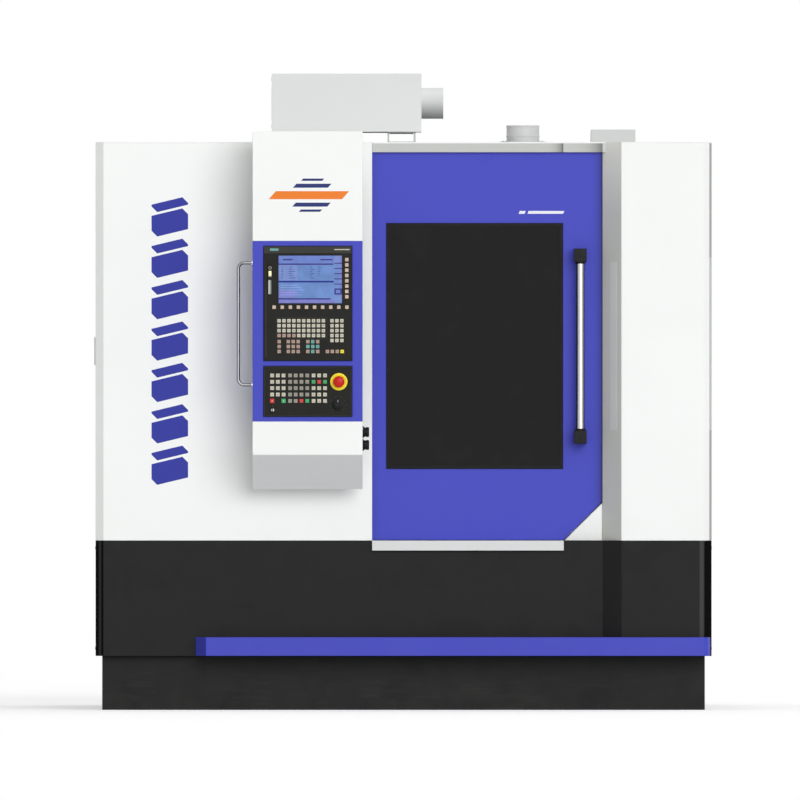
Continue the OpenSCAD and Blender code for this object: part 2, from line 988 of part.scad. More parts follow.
module mist_collector() {
    x = [mist_x0, mist_x0 + mist_w];
    y = [mist_y0, mist_y0 + mist_d];
    z = [mist_z0, mist_z0 + mist_h];
    motor_x = x[0] + 180;
    color(GRAY)
        difference() {
            union() {
                difference() {
                    block(x, y, z);
                    block([x[0] + 3, x[1] - 3], [y[0] + 3, y[1] - 3], [z[0] + 3, z[1] - 3]);
                }
                rod_x([x[0] + 2, motor_x], mist_mid_y, mist_mid_z, 90);
                rod_x([x[1] - 3, x[1] + spigot_len], mist_mid_y, mist_mid_z, spigot_d);
            }
            rod_x([x[1] - 4, x[1] + spigot_len + eps], mist_mid_y, mist_mid_z, spigot_d - 6);
            rod_x([motor_x - 60, motor_x + eps], mist_mid_y, mist_mid_z, 14 + 2 * run);
        }
}

module mist_fan() {
    x = mist_x0 + 180 + 2;
    color(STEEL)
        union() {
            rod_x([x - 55, x + 60], mist_mid_y, mist_mid_z, 14);
            rod_x([x, x + 60], mist_mid_y, mist_mid_z, 50);
            for (i = [0:7])
                translate([x, mist_mid_y, mist_mid_z])
                    rotate([45 * i, 0, 0])
                        translate([0, 20, -1.5])
                            cube([50, 60, 3]);
        }
}

module mist_brackets()
    color(WHITE)
        for (x = [mist_x0 + mist_foot_left, mist_x0 + mist_w - mist_foot_right - mist_foot_w])
            difference() {
                block([x, x + mist_foot_w], [mist_y0 + 20, mist_y0 + mist_d - 20],
                      [roof_z, mist_z0]);
                block([x + mist_foot_wall, x + mist_foot_w - mist_foot_wall],
                      [mist_y0 + 10, mist_y0 + mist_d - 10], [roof_z + sheet, mist_z0 - sheet]);
            }

module exhaust_stub()
    color(GRAY)
        difference() {
            union() {
                rod_z(stub_x, stub_y, [roof_z, roof_z + stub_h], stub_d);
                rod_z(stub_x, stub_y, [roof_z, roof_z + 6], stub_d + 50);
            }
            rod_z(stub_x, stub_y, [roof_z - eps, roof_z + stub_h + eps], stub_d - 2 * stub_wall);
        }

module roof_service_box()
    color(GRAY)
        block([service_x0, service_x0 + service_w], [service_y0, service_y0 + service_d],
              [roof_z, roof_z + service_h]);

// ---- Work area ----

module radial_column() {
    x = [column_face - column_w, column_face];
    y = [table_y - column_d / 2, table_y + column_d / 2];
    z = bed_z + way_h;
    color(CAST)
        difference() {
            union() {
                block(x, y, [z, column_top]);
                block([x[0] - 60, x[1]], [y[0] + 10, y[1] - 10], [z, z + 120]);
            }
            block([x[0] + 40, x[1] - 40], [y[0] + 40, y[1] - 40], [z - eps, column_top - 40]);
        }
}

module axial_slide()
    color(CAST)
        block([column_face, saddle_x], [table_y - 200, table_y + 200],
              [hob_z - 210, hob_z + 210]);

module swivel_head()
    color(CAST)
        union() {
            rod_x([saddle_x, head_x], table_y, hob_z, 360);
            block([saddle_x + 10, head_x], [table_y - 190, table_y + 190],
                  [hob_z - 70, hob_z + 70]);
        }

module shift_slide() {
    y = [table_y - shift_half, table_y + shift_half];
    color(CAST)
        difference() {
            union() {
                block([head_x, slide_base], y, [hob_z - 65, hob_z + 65]);
                for (side = [-1, 1]) {
                    near = side > 0 ? table_y + block_y : table_y - block_y - block_w;
                    rod_y(hob_x, [near, near + block_w], hob_z, block_d);
                    block([slide_base - eps, hob_x], [near, near + block_w],
                          [hob_z - 60, hob_z + 60]);
                }
            }
            rod_y(hob_x, [y[0] - eps, y[1] + eps], hob_z, arbor_d + 2 * run);
        }
}

module hob_arbor()
    color(STEEL)
        rod_y(hob_x, [table_y - block_y - block_w, table_y + block_y + block_w], hob_z, arbor_d);

// A cylinder with straight gashes between its rows of teeth
module hob() {
    gashes = 12;
    color("goldenrod")
        difference() {
            rod_y(hob_x, [table_y - hob_len / 2, table_y + hob_len / 2], hob_z, hob_d);
            rod_y(hob_x, [table_y - hob_len, table_y + hob_len], hob_z, arbor_d + 2 * seat);
            for (i = [0:gashes - 1])
                translate([hob_x, table_y, hob_z])
                    rotate([0, i * 360 / gashes, 0])
                        translate([hob_d / 2 - 16, -hob_len / 2 - eps, -3])
                            cube([20, hob_len + 2 * eps, 8]);
        }
}

module rotary_table()
    color(STEEL)
        difference() {
            union() {
                rod_z(table_x, table_y, [table_z - table_t, table_z], table_d);
                rod_z(table_x, table_y, [table_z - table_t - spindle_len, table_z - table_t],
                      spindle_d);
            }
            for (i = [0:3])
                translate([table_x, table_y, table_z])
                    rotate([0, 0, 90 * i])
                        translate([50, -7, -12])
                            cube([table_d, 14, 12 + eps]);
        }

module work_fixture()
    color(STEEL)
        union() {
            rod_z(table_x, table_y, [table_z, table_z + 20], 150);
            rod_z(table_x, table_y, [table_z + 20, table_z + 90], 110);
            rod_z(table_x, table_y, [table_z + 90, table_z + fixture_h - 15], 45);
            rod_z(table_x, table_y, [table_z + fixture_h - 15, table_z + fixture_h], 36);
        }

module tailstock_column()
    color(CAST)
        difference() {
            union() {
                block([table_x - counter_w / 2, table_x + counter_w / 2],
                      [counter_y + 30, counter_y + counter_d], [bed_z, counter_top]);
                for (x = [table_x - carriage_w / 2, table_x + carriage_w / 2 - guide_w])
                    block([x, x + guide_w], [counter_y, counter_y + 31],
                          [bed_z + 300, counter_top - 40]);
            }
            block([table_x - counter_w / 2 + 40, table_x + counter_w / 2 - 40],
                  [counter_y + 80, counter_y + counter_d - 40], [bed_z - eps, counter_top - 40]);
        }

module tailstock_arm() {
    z = centre_z + centre_len;
    color(CAST)
        difference() {
            union() {
                block([table_x - arm_w / 2, table_x + arm_w / 2],
                      [table_y, counter_y - carriage_t],
                      [z, z + arm_h]);
                rod_z(table_x, table_y, [z, z + arm_h], arm_w);
                block([table_x - carriage_w / 2, table_x + carriage_w / 2],
                      [counter_y - carriage_t - eps, counter_y - free],
                      [z - carriage_over, z + arm_h + carriage_over]);
            }
            rod_z(table_x, table_y, [z - eps, z + arm_h - 20], quill_d + 2 * run);
        }
}

module live_centre()
    color(STEEL)
        union() {
            rod_z(table_x, table_y, [centre_z + 45, centre_z + centre_len + arm_h - 25], quill_d);
            translate([table_x, table_y, centre_z])
                cylinder(d1 = 4, d2 = 44, h = 45);
        }

// ---- Rear units ----

module electrical_cabinet() {
    x = [cabinet_x0, cabinet_x1];
    color(GRAY)
        union() {
            difference() {
                block(x, [rear_face + sheet, cabinet_y1], [cabinet_z0, cabinet_top]);
                block([x[0] + 3, x[1] - 3], [rear_face + sheet + 3, cabinet_y1 + eps],
                      [cabinet_z0 + 3, cabinet_top - 3]);
            }
            block([x[0] + 60, x[1] - 60], [rear_face + sheet + 2, rear_face + sheet + 30],
                  [cabinet_z0 + 100, cabinet_top - 120]);
            for (z = cabinet_hinges) {
                hinge_pin(x[0] + hinge_d, cabinet_door_y, z);
                block([x[0], x[0] + hinge_d], [cabinet_y1 - 10, cabinet_door_y],
                      [z, z + hinge_len / 2 - free]);
            }
            block([x[0], x[1]], [rear_face + sheet, cabinet_y1 - 30], [0, cabinet_z0]);
        }
}

module cabinet_door() {
    x = [cabinet_x0 + hinge_d, cabinet_x1];
    color(GRAY)
        difference() {
            union() {
                difference() {
                    block(x, [cabinet_y1 + 1, cabinet_door_y], [cabinet_z0, cabinet_top]);
                    for (z = cabinet_hinges)
                        hinge_room(x[0], cabinet_door_y, z);
                    block([x[0] + 20, x[1] - 20], [cabinet_y1, cabinet_door_y - 3],
                          [cabinet_z0 + 20, cabinet_top - 20]);
                }
                for (z = cabinet_hinges) {
                    hinge_eye(x[0], cabinet_door_y, z);
                    block([x[0], x[0] + hinge_d], [cabinet_door_y - 3, cabinet_door_y],
                          [z + hinge_len / 2, z + hinge_len]);
                }
            }
            for (z = cabinet_hinges)
                hinge_bore(x[0], cabinet_door_y, z);
            rod_y(cabinet_x1 - switch_inset, [cabinet_y1, cabinet_door_y + eps], switch_z,
                  plug_d + 2 * run);
        }
}

module main_switch() {
    x = cabinet_x1 - switch_inset;
    color("crimson")
        union() {
            rod_y(x, [cabinet_door_y - 8, cabinet_door_y + free], switch_z, plug_d);
            rod_y(x, [cabinet_door_y + free, cabinet_door_y + 8], switch_z, 70);
            block([x - 9, x + 9], [cabinet_door_y + 8, cabinet_door_y + 26],
                  [switch_z - 32, switch_z + 32]);
        }
}

module coolant_tank()
    color(BLACK)
        difference() {
            block([tank_x0, tank_x1], [rear_face + sheet, rear_face + tank_d], [0, tank_h]);
            block([tank_x0 + 4, tank_x1 - 4], [rear_face + sheet + 4, rear_face + tank_d - 4],
                  [4, tank_h - 4]);
            for (x = pump_xs)
                rod_z(x, pump_y, [tank_h - 5, tank_h + eps], pump_d - 2 * pump_neck + 2 * seat);
        }

module coolant_pumps()
    color(GRAY)
        for (x = pump_xs) {
            rod_z(x, pump_y, [tank_h, tank_h + pump_flange_t], pump_d + 2 * pump_flange_lip);
            rod_z(x, pump_y, [tank_h + pump_flange_t, tank_h + pump_h], pump_d);
            rod_z(x, pump_y, [tank_h - pump_reach, tank_h], pump_d - 2 * pump_neck);
        }

levelling_feet();
base_plinth();
machine_bed();
lower_skirt();
accent_strip();
left_front_cover();
right_front_cover();
door_frame();
door_sill();
door_rails();
left_side_wall();
right_side_wall();
roof_panel();
rear_wall();
splash_guards();
tailstock_column();
mist_collector();
mist_brackets();
mist_fan();
exhaust_stub();
roof_service_box();
electrical_cabinet();
cabinet_door();
main_switch();
coolant_tank();
coolant_pumps();
console_bracket();
left_side_door();
door_panel();
door_window();
door_gasket();
door_handle_bar();
door_handle_mounts();
console_top_cover();
console_centre_cover();
console_bottom_cover();
grab_handle();
operator_panel();
operator_screen();
operator_keys();
card_door();
control_panel();
control_keys();
connector_caps();
estop_button();
override_knob();
key_switch();
start_key();
stop_key();
radial_column();
axial_slide();
swivel_head();
shift_slide();
hob_arbor();
hob();
rotary_table();
work_fixture();
tailstock_arm();
live_centre();
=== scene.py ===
import json
from math import cos, pi, radians, sin

import bmesh
import bpy
from bpy.props import FloatProperty, FloatVectorProperty, IntProperty, PointerProperty
from mathutils import Matrix, Vector

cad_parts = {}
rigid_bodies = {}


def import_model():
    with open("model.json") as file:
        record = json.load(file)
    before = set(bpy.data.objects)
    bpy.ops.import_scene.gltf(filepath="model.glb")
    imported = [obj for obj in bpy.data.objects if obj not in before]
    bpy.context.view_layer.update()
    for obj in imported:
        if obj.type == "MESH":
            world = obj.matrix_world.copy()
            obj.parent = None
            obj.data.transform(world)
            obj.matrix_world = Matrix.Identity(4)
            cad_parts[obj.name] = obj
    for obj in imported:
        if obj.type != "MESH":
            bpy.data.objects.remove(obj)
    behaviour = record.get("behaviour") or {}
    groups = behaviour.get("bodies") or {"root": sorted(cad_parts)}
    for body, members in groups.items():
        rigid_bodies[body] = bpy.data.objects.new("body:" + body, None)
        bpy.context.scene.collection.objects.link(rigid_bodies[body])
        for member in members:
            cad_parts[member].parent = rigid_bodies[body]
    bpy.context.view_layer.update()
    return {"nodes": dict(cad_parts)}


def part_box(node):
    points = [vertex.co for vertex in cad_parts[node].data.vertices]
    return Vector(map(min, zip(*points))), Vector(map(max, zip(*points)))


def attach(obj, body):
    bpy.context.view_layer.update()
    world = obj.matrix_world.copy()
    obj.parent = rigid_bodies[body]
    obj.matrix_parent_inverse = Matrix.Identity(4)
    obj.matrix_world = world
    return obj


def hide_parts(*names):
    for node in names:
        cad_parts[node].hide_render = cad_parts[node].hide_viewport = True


bl_info = {
    "name": "Gear hobbing machine",
    "version": (1, 0, 0),
    "blender": (4, 5, 0),
    "location": "View3D > Sidebar > Gear Machine",
    "description": "Finishes and fittings for an enclosed gear hobbing machine",
    "category": "Object",
}

for thing in list(bpy.data.objects):
    bpy.data.objects.remove(thing)
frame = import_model()

LINTEL_END = 137         # length of the lintel's last piece, up to the door's closing edge, in millimetres
FLANK_RUN = (66, -90)    # how far the slanted flank runs along x and along y, in millimetres
DOOR_SHADE_WIDTH = 0.06       # width of the painted shade along the door's closing edge, in metres
LINTEL_SHADE_WIDTH = 0.08      # width of the painted shade at the end of the lintel's first piece, in metres
DUST = "#a19d93"         # colour of settled dust
SCUFF = "#6d6c69"        # colour of what shoes and carts leave near the floor
FLOOR_GLOW = 0.42        # light that the floor adds where it is seen, so that it ends in the background
FIELD = 2.8              # width that the camera sees at the front cover, in metres
AIM = (-0.01225, 1.085)  # what the camera points at, across and up, in metres
SENSOR = 36              # width of the camera's sensor, in millimetres


def tint(code):
    """Linear colour of an sRGB hex code."""
    parts = [int(code[i:i + 2], 16) / 255 for i in (1, 3, 5)]
    return tuple(c / 12.92 if c <= 0.04045 else ((c + 0.055) / 1.055) ** 2.4 for c in parts)


def cad(node):
    """Lowest and highest corner of a frame part, in millimetres."""
    low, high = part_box(node)
    return low * 1000, high * 1000


def middle(node):
    """Middle of a frame part, in millimetres."""
    low, high = cad(node)
    return (low + high) / 2


def wider(span, more):
    """A range that reaches further at both ends."""
    return span[0] - more, span[1] + more


def spaced(low, high, spacing):
    """Even steps from low to high, about this far apart."""
    count = max(1, round((high - low) / spacing))
    return [low + (high - low) * i / count for i in range(count + 1)]


def grid(across, up):
    """Every crossing of some columns and rows."""
    return [(u, v) for u in across for v in up]


def around(radius, count, start=0.0, at=(0.0, 0.0)):
    """Evenly spaced places on a circle, from a starting angle in radians."""
    turns = [start + 2 * pi * k / count for k in range(count)]
    return [(at[0] + radius * cos(a), at[1] + radius * sin(a)) for a in turns]


# ---- Sizes and colours that a user may change ----

def colour(name, description, code):
    return FloatVectorProperty(name=name, description=description, default=tint(code),
                               size=3, min=0, max=1, subtype="COLOR")


def length(name, description, default, least, most):
    return FloatProperty(name=name, description=description, default=default,
                         min=least, max=most, subtype="DISTANCE", unit="LENGTH")


class MachineColours(bpy.types.PropertyGroup):
    white: colour("White coat", "Powder coat of the covers", "#f6f8f6")
    black: colour("Black coat", "Powder coat of the skirt and the plinth", "#181818")
    blue: colour("Blue coat", "Powder coat of the door and the accent strip", "#4349be")
    grey: colour("Grey coat", "Powder coat of the roof units and the cabinet", "#dbdddc")
    cast: colour("Casting paint", "Paint of the bed, the columns and the head", "#8b9693")
    steel: colour("Steel", "Ground, brushed and polished steel", "#c2c4c6")
    hob: colour("Hob coating", "Hard coating of the hob's teeth", "#c79a3e")
    glass: colour("Window", "Tinted window of the door", "#0b0b0b")
    screen: colour("Screen", "Lit background of the screen", "#5c7ab0")
    ivory: colour("Ivory keys", "Caps of most keys", "#cbc7b5")
    brown: colour("Brown keys", "Caps of the editing keys", "#a98f80")
    teal: colour("Teal keys", "Caps of the cursor keys", "#5f9f98")
    red: colour("Red plastic", "Stop keys and the mushroom button", "#ca1b15")
    green: colour("Green plastic", "Start keys", "#22a35a")
    yellow: colour("Yellow plastic", "Stop collar and the reset key", "#fae310")
    stripe: colour("Livery blue", "Slanted blocks on the left cover", "#2c349b")
    orange: colour("Livery orange", "Bars at the top of the console", "#f08028")


class MachineSizes(bpy.types.PropertyGroup):
    sheet_edge: length("Sheet edge", "Radius of a folded sheet's edge", 0.0016, 0.0003, 0.003)
    cover_edge: length("Cover edge", "Radius of the console's edges", 0.004, 0.001, 0.006)
    casting_edge: length("Casting edge", "Radius of a casting's edges", 0.006, 0.001, 0.01)
    key_edge: length("Key edge", "Rounding of a key cap", 0.0014, 0.0004, 0.003)
    screw_head: length("Screw head", "Diameter of a cover screw's head", 0.014, 0.008, 0.02)
    seam: length("Seam", "Width of a seam between two covers", 0.003, 0.001, 0.005)
    floor_reach: length("Floor", "Side of the square floor", 60.0, 20.0, 200.0)
    lens: FloatProperty(name="Lens", description="Focal length of the camera in millimetres",
                        default=1400, min=200, max=1500)
    hob_rows: IntProperty(name="Hob rows", description="Rows of teeth around the hob",
                          default=12, min=8, max=16)
    louvres: IntProperty(name="Louvres", description="Louvres in one field",
                         default=10, min=4, max=16)
    key_lamp: FloatProperty(name="Key lamp", description="Strength of the soft key lamp",
                            default=1.67, min=0, max=5)
    rear_lamp: FloatProperty(name="Rear lamp", description="Strength of the weak lamp behind",
                             default=0.5, min=0, max=5)
    room_light: FloatProperty(name="Room light", description="Strength of the even light",
                              default=0.46, min=0, max=2)


def colours():
    return bpy.context.scene.gear_machine_colours


def sizes():
    return bpy.context.scene.gear_machine_sizes


# ---- Finishes ----

class Wiring:
    """Adds nodes to one tree and links them."""

    def __init__(self, tree):
        self.tree = tree

    def put(self, value, socket):
        """Links another socket to this one, or sets its plain value."""
        if isinstance(value, bpy.types.NodeSocket):
            self.tree.links.new(value, socket)
        else:
            socket.default_value = value

    def add(self, kind, inputs=None, **settings):
        node = self.tree.nodes.new("ShaderNode" + kind)
        for key, value in settings.items():
            setattr(node, key, value)
        for key, value in (inputs or {}).items():
            self.put(value, node.inputs[key])
        return node

    def math(self, operation, first, second, clamp=False):
        return self.add("Math", {0: first, 1: second}, operation=operation, use_clamp=clamp).outputs[0]

    def times(self, first, second, clamp=False):
        return self.math("MULTIPLY", first, second, clamp)

    def plus(self, first, second, clamp=False):
        return self.math("ADD", first, second, clamp)

    def vector(self, operation, first, second, output="Vector"):
        return self.add("VectorMath", {0: first, 1: second}, operation=operation).outputs[output]

    def blend(self, amount, first, second):
        node = self.add("Mix", {"Factor": amount}, data_type="RGBA")
        for socket, value in ((node.inputs[6], first), (node.inputs[7], second)):
            self.put(value if isinstance(value, bpy.types.NodeSocket) else (*value, 1), socket)
        return node.outputs[2]

    def spread(self, value, low, high, to_low=0.0, to_high=1.0):
        return self.add("MapRange", {"Value": value, "From Min": low, "From Max": high,
                                     "To Min": to_low, "To Max": to_high}, clamp=True).outputs[0]

    def noise(self, where, scale, detail=2.0, distortion=0.0):
        return self.add("TexNoise", {"Vector": where, "Scale": scale, "Detail": detail,
                                     "Distortion": distortion}).outputs["Fac"]

    def where(self):
        return self.add("TexCoord").outputs["Object"]

    def upward(self, vector):
        return self.add("SeparateXYZ", {0: vector}).outputs["Z"]

    def seen(self):
        """1 for rays that show the floor or the room, 0 for rays that only light something."""
        ray = self.add("LightPath").outputs
        direct = self.math("MAXIMUM", ray["Is Camera Ray"], ray["Is Glossy Ray"])
        return self.math("MAXIMUM", direct, ray["Is Transmission Ray"])

    def effect(self, name, **values):
        node = self.add("Group", node_tree=bpy.data.node_groups[name])
        for key, value in values.items():
            node.inputs[key.replace("_", " ")].default_value = value
        return node.outputs


def new_effect(name, inputs, *outputs):
    """Starts a shader node group and returns its wiring, its inputs and its outputs."""
    tree = bpy.data.node_groups.new(name, "ShaderNodeTree")
    for socket, value in inputs.items():
        kind = "NodeSocketVector" if isinstance(value, tuple) else "NodeSocketFloat"
        tree.interface.new_socket(socket, in_out="INPUT", socket_type=kind).default_value = value
    for socket in outputs:
        tree.interface.new_socket(socket, in_out="OUTPUT", socket_type="NodeSocketFloat")
    take = tree.nodes.new("NodeGroupInput").outputs
    return Wiring(tree), take, tree.nodes.new("NodeGroupOutput").inputs


def build_effects():
    """The textures, dust, marks and runs of tone that the finishes share."""
    w, take, give = new_effect("Coat texture", {"Grain": 300.0, "Mottle size": 2.0}, "Height", "Mottle")
    where = w.where()
    fine = w.noise(where, take["Grain"])
    peel = w.noise(where, w.times(take["Grain"], 0.22))
    w.put(w.plus(w.times(fine, 0.4), w.times(peel, 0.6)), give["Height"])
    cloud = w.noise(where, take["Mottle size"], detail=4.0, distortion=0.4)
    w.put(w.spread(cloud, 0.36, 0.66), give["Mottle"])

    w, take, give = new_effect("Settled dust", {"Reach": 0.3, "Amount": 0.3}, "Mask")
    where = w.where()
    low = w.spread(w.upward(where), take["Reach"], 0.0)
    flat = w.spread(w.upward(w.add("NewGeometry").outputs["Normal"]), 0.6, 1.0, to_low=0.0, to_high=0.55)
    patch = w.spread(w.noise(where, 7.0, detail=6.0, distortion=0.8), 0.35, 0.7)
    w.put(w.times(w.times(w.math("MAXIMUM", low, flat), patch), take["Amount"]), give["Mask"])

    w, take, give = new_effect("Brushed lines", {"Stretch": (2.0, 200.0, 200.0)}, "Height", "Streak")
    lines = w.noise(w.vector("MULTIPLY", w.where(), take["Stretch"]), 6.0, detail=5.0)
    w.put(lines, give["Height"])
    w.put(w.spread(lines, 0.3, 0.7), give["Streak"])

    w, take, give = new_effect("Handling marks", {"Size": 9.0, "Amount": 0.5}, "Mask")
    smear = w.spread(w.noise(w.where(), take["Size"], detail=7.0, distortion=1.6), 0.5, 0.68)
    w.put(w.times(smear, take["Amount"]), give["Mask"])

    w, take, give = new_effect("Floor scuffs", {"Reach": 0.2, "Amount": 0.5}, "Mask")
    where = w.where()
    low = w.spread(w.upward(where), take["Reach"], 0.0)
    pulled = w.vector("MULTIPLY", where, (3.0, 3.0, 26.0))
    strokes = w.spread(w.noise(pulled, 2.6, detail=8.0, distortion=0.5), 0.56, 0.66)
    w.put(w.times(w.times(strokes, low), take["Amount"]), give["Mask"])

    # Tone run: a mask along one direction, which the coats use for painted shade.
    w, take, give = new_effect("Tone run", {"Along": (0.0, 0.0, 1.0), "Low": 0.0, "High": 1.0}, "Mask")
    place = w.vector("DOT_PRODUCT", w.where(), take["Along"], "Value")
    w.put(w.spread(place, take["Low"], take["High"]), give["Mask"])


def start(name, roughness, **plain):
    """A material with one Principled BSDF, whose plain sockets are set directly."""
    material = bpy.data.materials.new(name)
    material.use_nodes = True
    shader = material.node_tree.nodes["Principled BSDF"].inputs
    shader["Roughness"].default_value = roughness
    for key, value in plain.items():
        shader[key.replace("_", " ")].default_value = value
    return Wiring(material.node_tree), shader


def shade(base, factor=1.0):
    """A colour, given as a code or as three values, made darker or lighter."""
    return tuple(min(1.0, c * factor) for c in (tint(base) if isinstance(base, str) else base))


def relief(wiring, shader, height, distance, strength=0.4):
    """Gives a finish its fine surface relief."""
    bump = wiring.add("Bump", {"Height": height, "Distance": distance, "Strength": strength})
    wiring.put(bump.outputs[0], shader["Normal"])


def coat(name, base, roughness, specular=0.25, grain=420.0, depth=0.0002, dust=0.0, reach=0.3,
         marks=0.06, scuffs=0.0, shade_run=None):
    """Powder coat or paint: texture, mottling, dust, handling marks, scuffs and an edge darkened as painted
    shade.
    """
    w, shader = start(name, roughness, Specular_IOR_Level=specular)
    texture = w.effect("Coat texture", Grain=grain, Mottle_size=1.8)
    tone = w.blend(texture["Mottle"], shade(base, 0.985), shade(base, 1.01))
    settled = w.effect("Settled dust", Reach=reach, Amount=dust)["Mask"]
    tone = w.blend(settled, tone, tint(DUST))
    # Painted shade: the tone darkens towards the high end of this run, standing in for shade beside a part
    # that stands in front.
    if shade_run:
        run = w.effect("Tone run", Along=(1, 0, 0), Low=shade_run[0], High=shade_run[1])["Mask"]
        tone = w.blend(w.math("POWER", run, 3.5), tone, shade(base, 0.35))
    if scuffs:
        rubbed = w.effect("Floor scuffs", Reach=reach, Amount=scuffs)["Mask"]
        tone = w.blend(rubbed, tone, tint(SCUFF))
    w.put(tone, shader["Base Color"])
    smear = w.effect("Handling marks", Size=8.0, Amount=marks)["Mask"]
    rough = w.plus(w.times(settled, 0.3), roughness)
    w.put(w.plus(rough, smear, True), shader["Roughness"])
    relief(w, shader, texture["Height"], depth)


def height_shaded_coat(name, low_tone, high_tone, low, high):
    """A coat whose tone changes with height: painted shade, darker towards the bottom."""
    w, shader = start(name, 0.45, Specular_IOR_Level=0.2)
    texture = w.effect("Coat texture", Grain=420.0, Mottle_size=3.0)
    height = w.effect("Tone run", Low=low, High=high)["Mask"]
    tone = w.blend(height, tint(low_tone), tint(high_tone))
    tone = w.blend(w.times(texture["Mottle"], 0.06), tone, shade(low_tone, 0.8))
    w.put(tone, shader["Base Color"])
    relief(w, shader, texture["Height"], 0.0002)


def metal(name, base, roughness, stretch, depth, marks=0.12):
    """Worked steel: fine lines one way and a few handling marks."""
    w, shader = start(name, roughness, Metallic=1.0)
    lines = w.effect("Brushed lines", Stretch=stretch)
    w.put(w.blend(lines["Streak"], shade(base, 0.86), shade(base, 1.08)), shader["Base Color"])
    smear = w.effect("Handling marks", Size=14.0, Amount=marks)["Mask"]
    worn = w.spread(lines["Streak"], 0, 1, to_low=roughness * 0.8, to_high=roughness * 1.2)
    w.put(w.plus(worn, smear), shader["Roughness"])
    relief(w, shader, lines["Height"], depth)


def painted_sheen_bar(name, along, edge):
    """Round steel bar with painted sheen: a painted highlight along its middle and painted shade towards both
    edges, by how far the surface turns from the view.
    """
    w, shader = start(name, 0.22, Metallic=1.0)
    lines = w.effect("Brushed lines", Stretch=(60.0, 60.0, 1.5))
    turned_away = w.add("LayerWeight", {"Blend": 0.5}).outputs["Facing"]
    painted_edge_shade = w.times(w.math("POWER", turned_away, 0.5), 1.45, True)
    tone = w.blend(painted_edge_shade, tint(along), tint(edge))
    tone = w.blend(w.times(lines["Streak"], 0.08), tone, tint(edge))
    w.put(tone, shader["Base Color"])
    relief(w, shader, lines["Height"], 0.00003)


def moulded(name, base, roughness, specular=0.5, grain=900.0, depth=0.00012, lit=0.0):
    """Moulded plastic: fine grain and touch-polished patches."""
    w, shader = start(name, roughness, Specular_IOR_Level=specular)
    texture = w.effect("Coat texture", Grain=grain, Mottle_size=40.0)
    tone = w.blend(texture["Mottle"], shade(base, 0.93), shade(base, 1.05))
    w.put(tone, shader["Base Color"])
    if lit:
        w.put(tone, shader["Emission Color"])
        shader["Emission Strength"].default_value = lit
    smear = w.effect("Handling marks", Size=30.0, Amount=-0.12)["Mask"]
    w.put(w.plus(smear, roughness, True), shader["Roughness"])
    relief(w, shader, texture["Height"], depth, 0.3)


def glass(name, base, roughness, specular, grain, mottle, brightest, lit=0.0, smears=0.0):
    """Glass over a dark or lit ground that is a little uneven."""
    w, shader = start(name, roughness, Specular_IOR_Level=specular)
    texture = w.effect("Coat texture", Grain=grain, Mottle_size=mottle)
    tone = w.blend(texture["Mottle"], shade(base, 0.9), shade(base, brightest))
    w.put(tone, shader["Base Color"])
    if lit:
        w.put(tone, shader["Emission Color"])
        shader["Emission Strength"].default_value = lit
    if smears:
        smear = w.effect("Handling marks", Size=5.0, Amount=smears)["Mask"]
        w.put(w.plus(smear, roughness), shader["Roughness"])


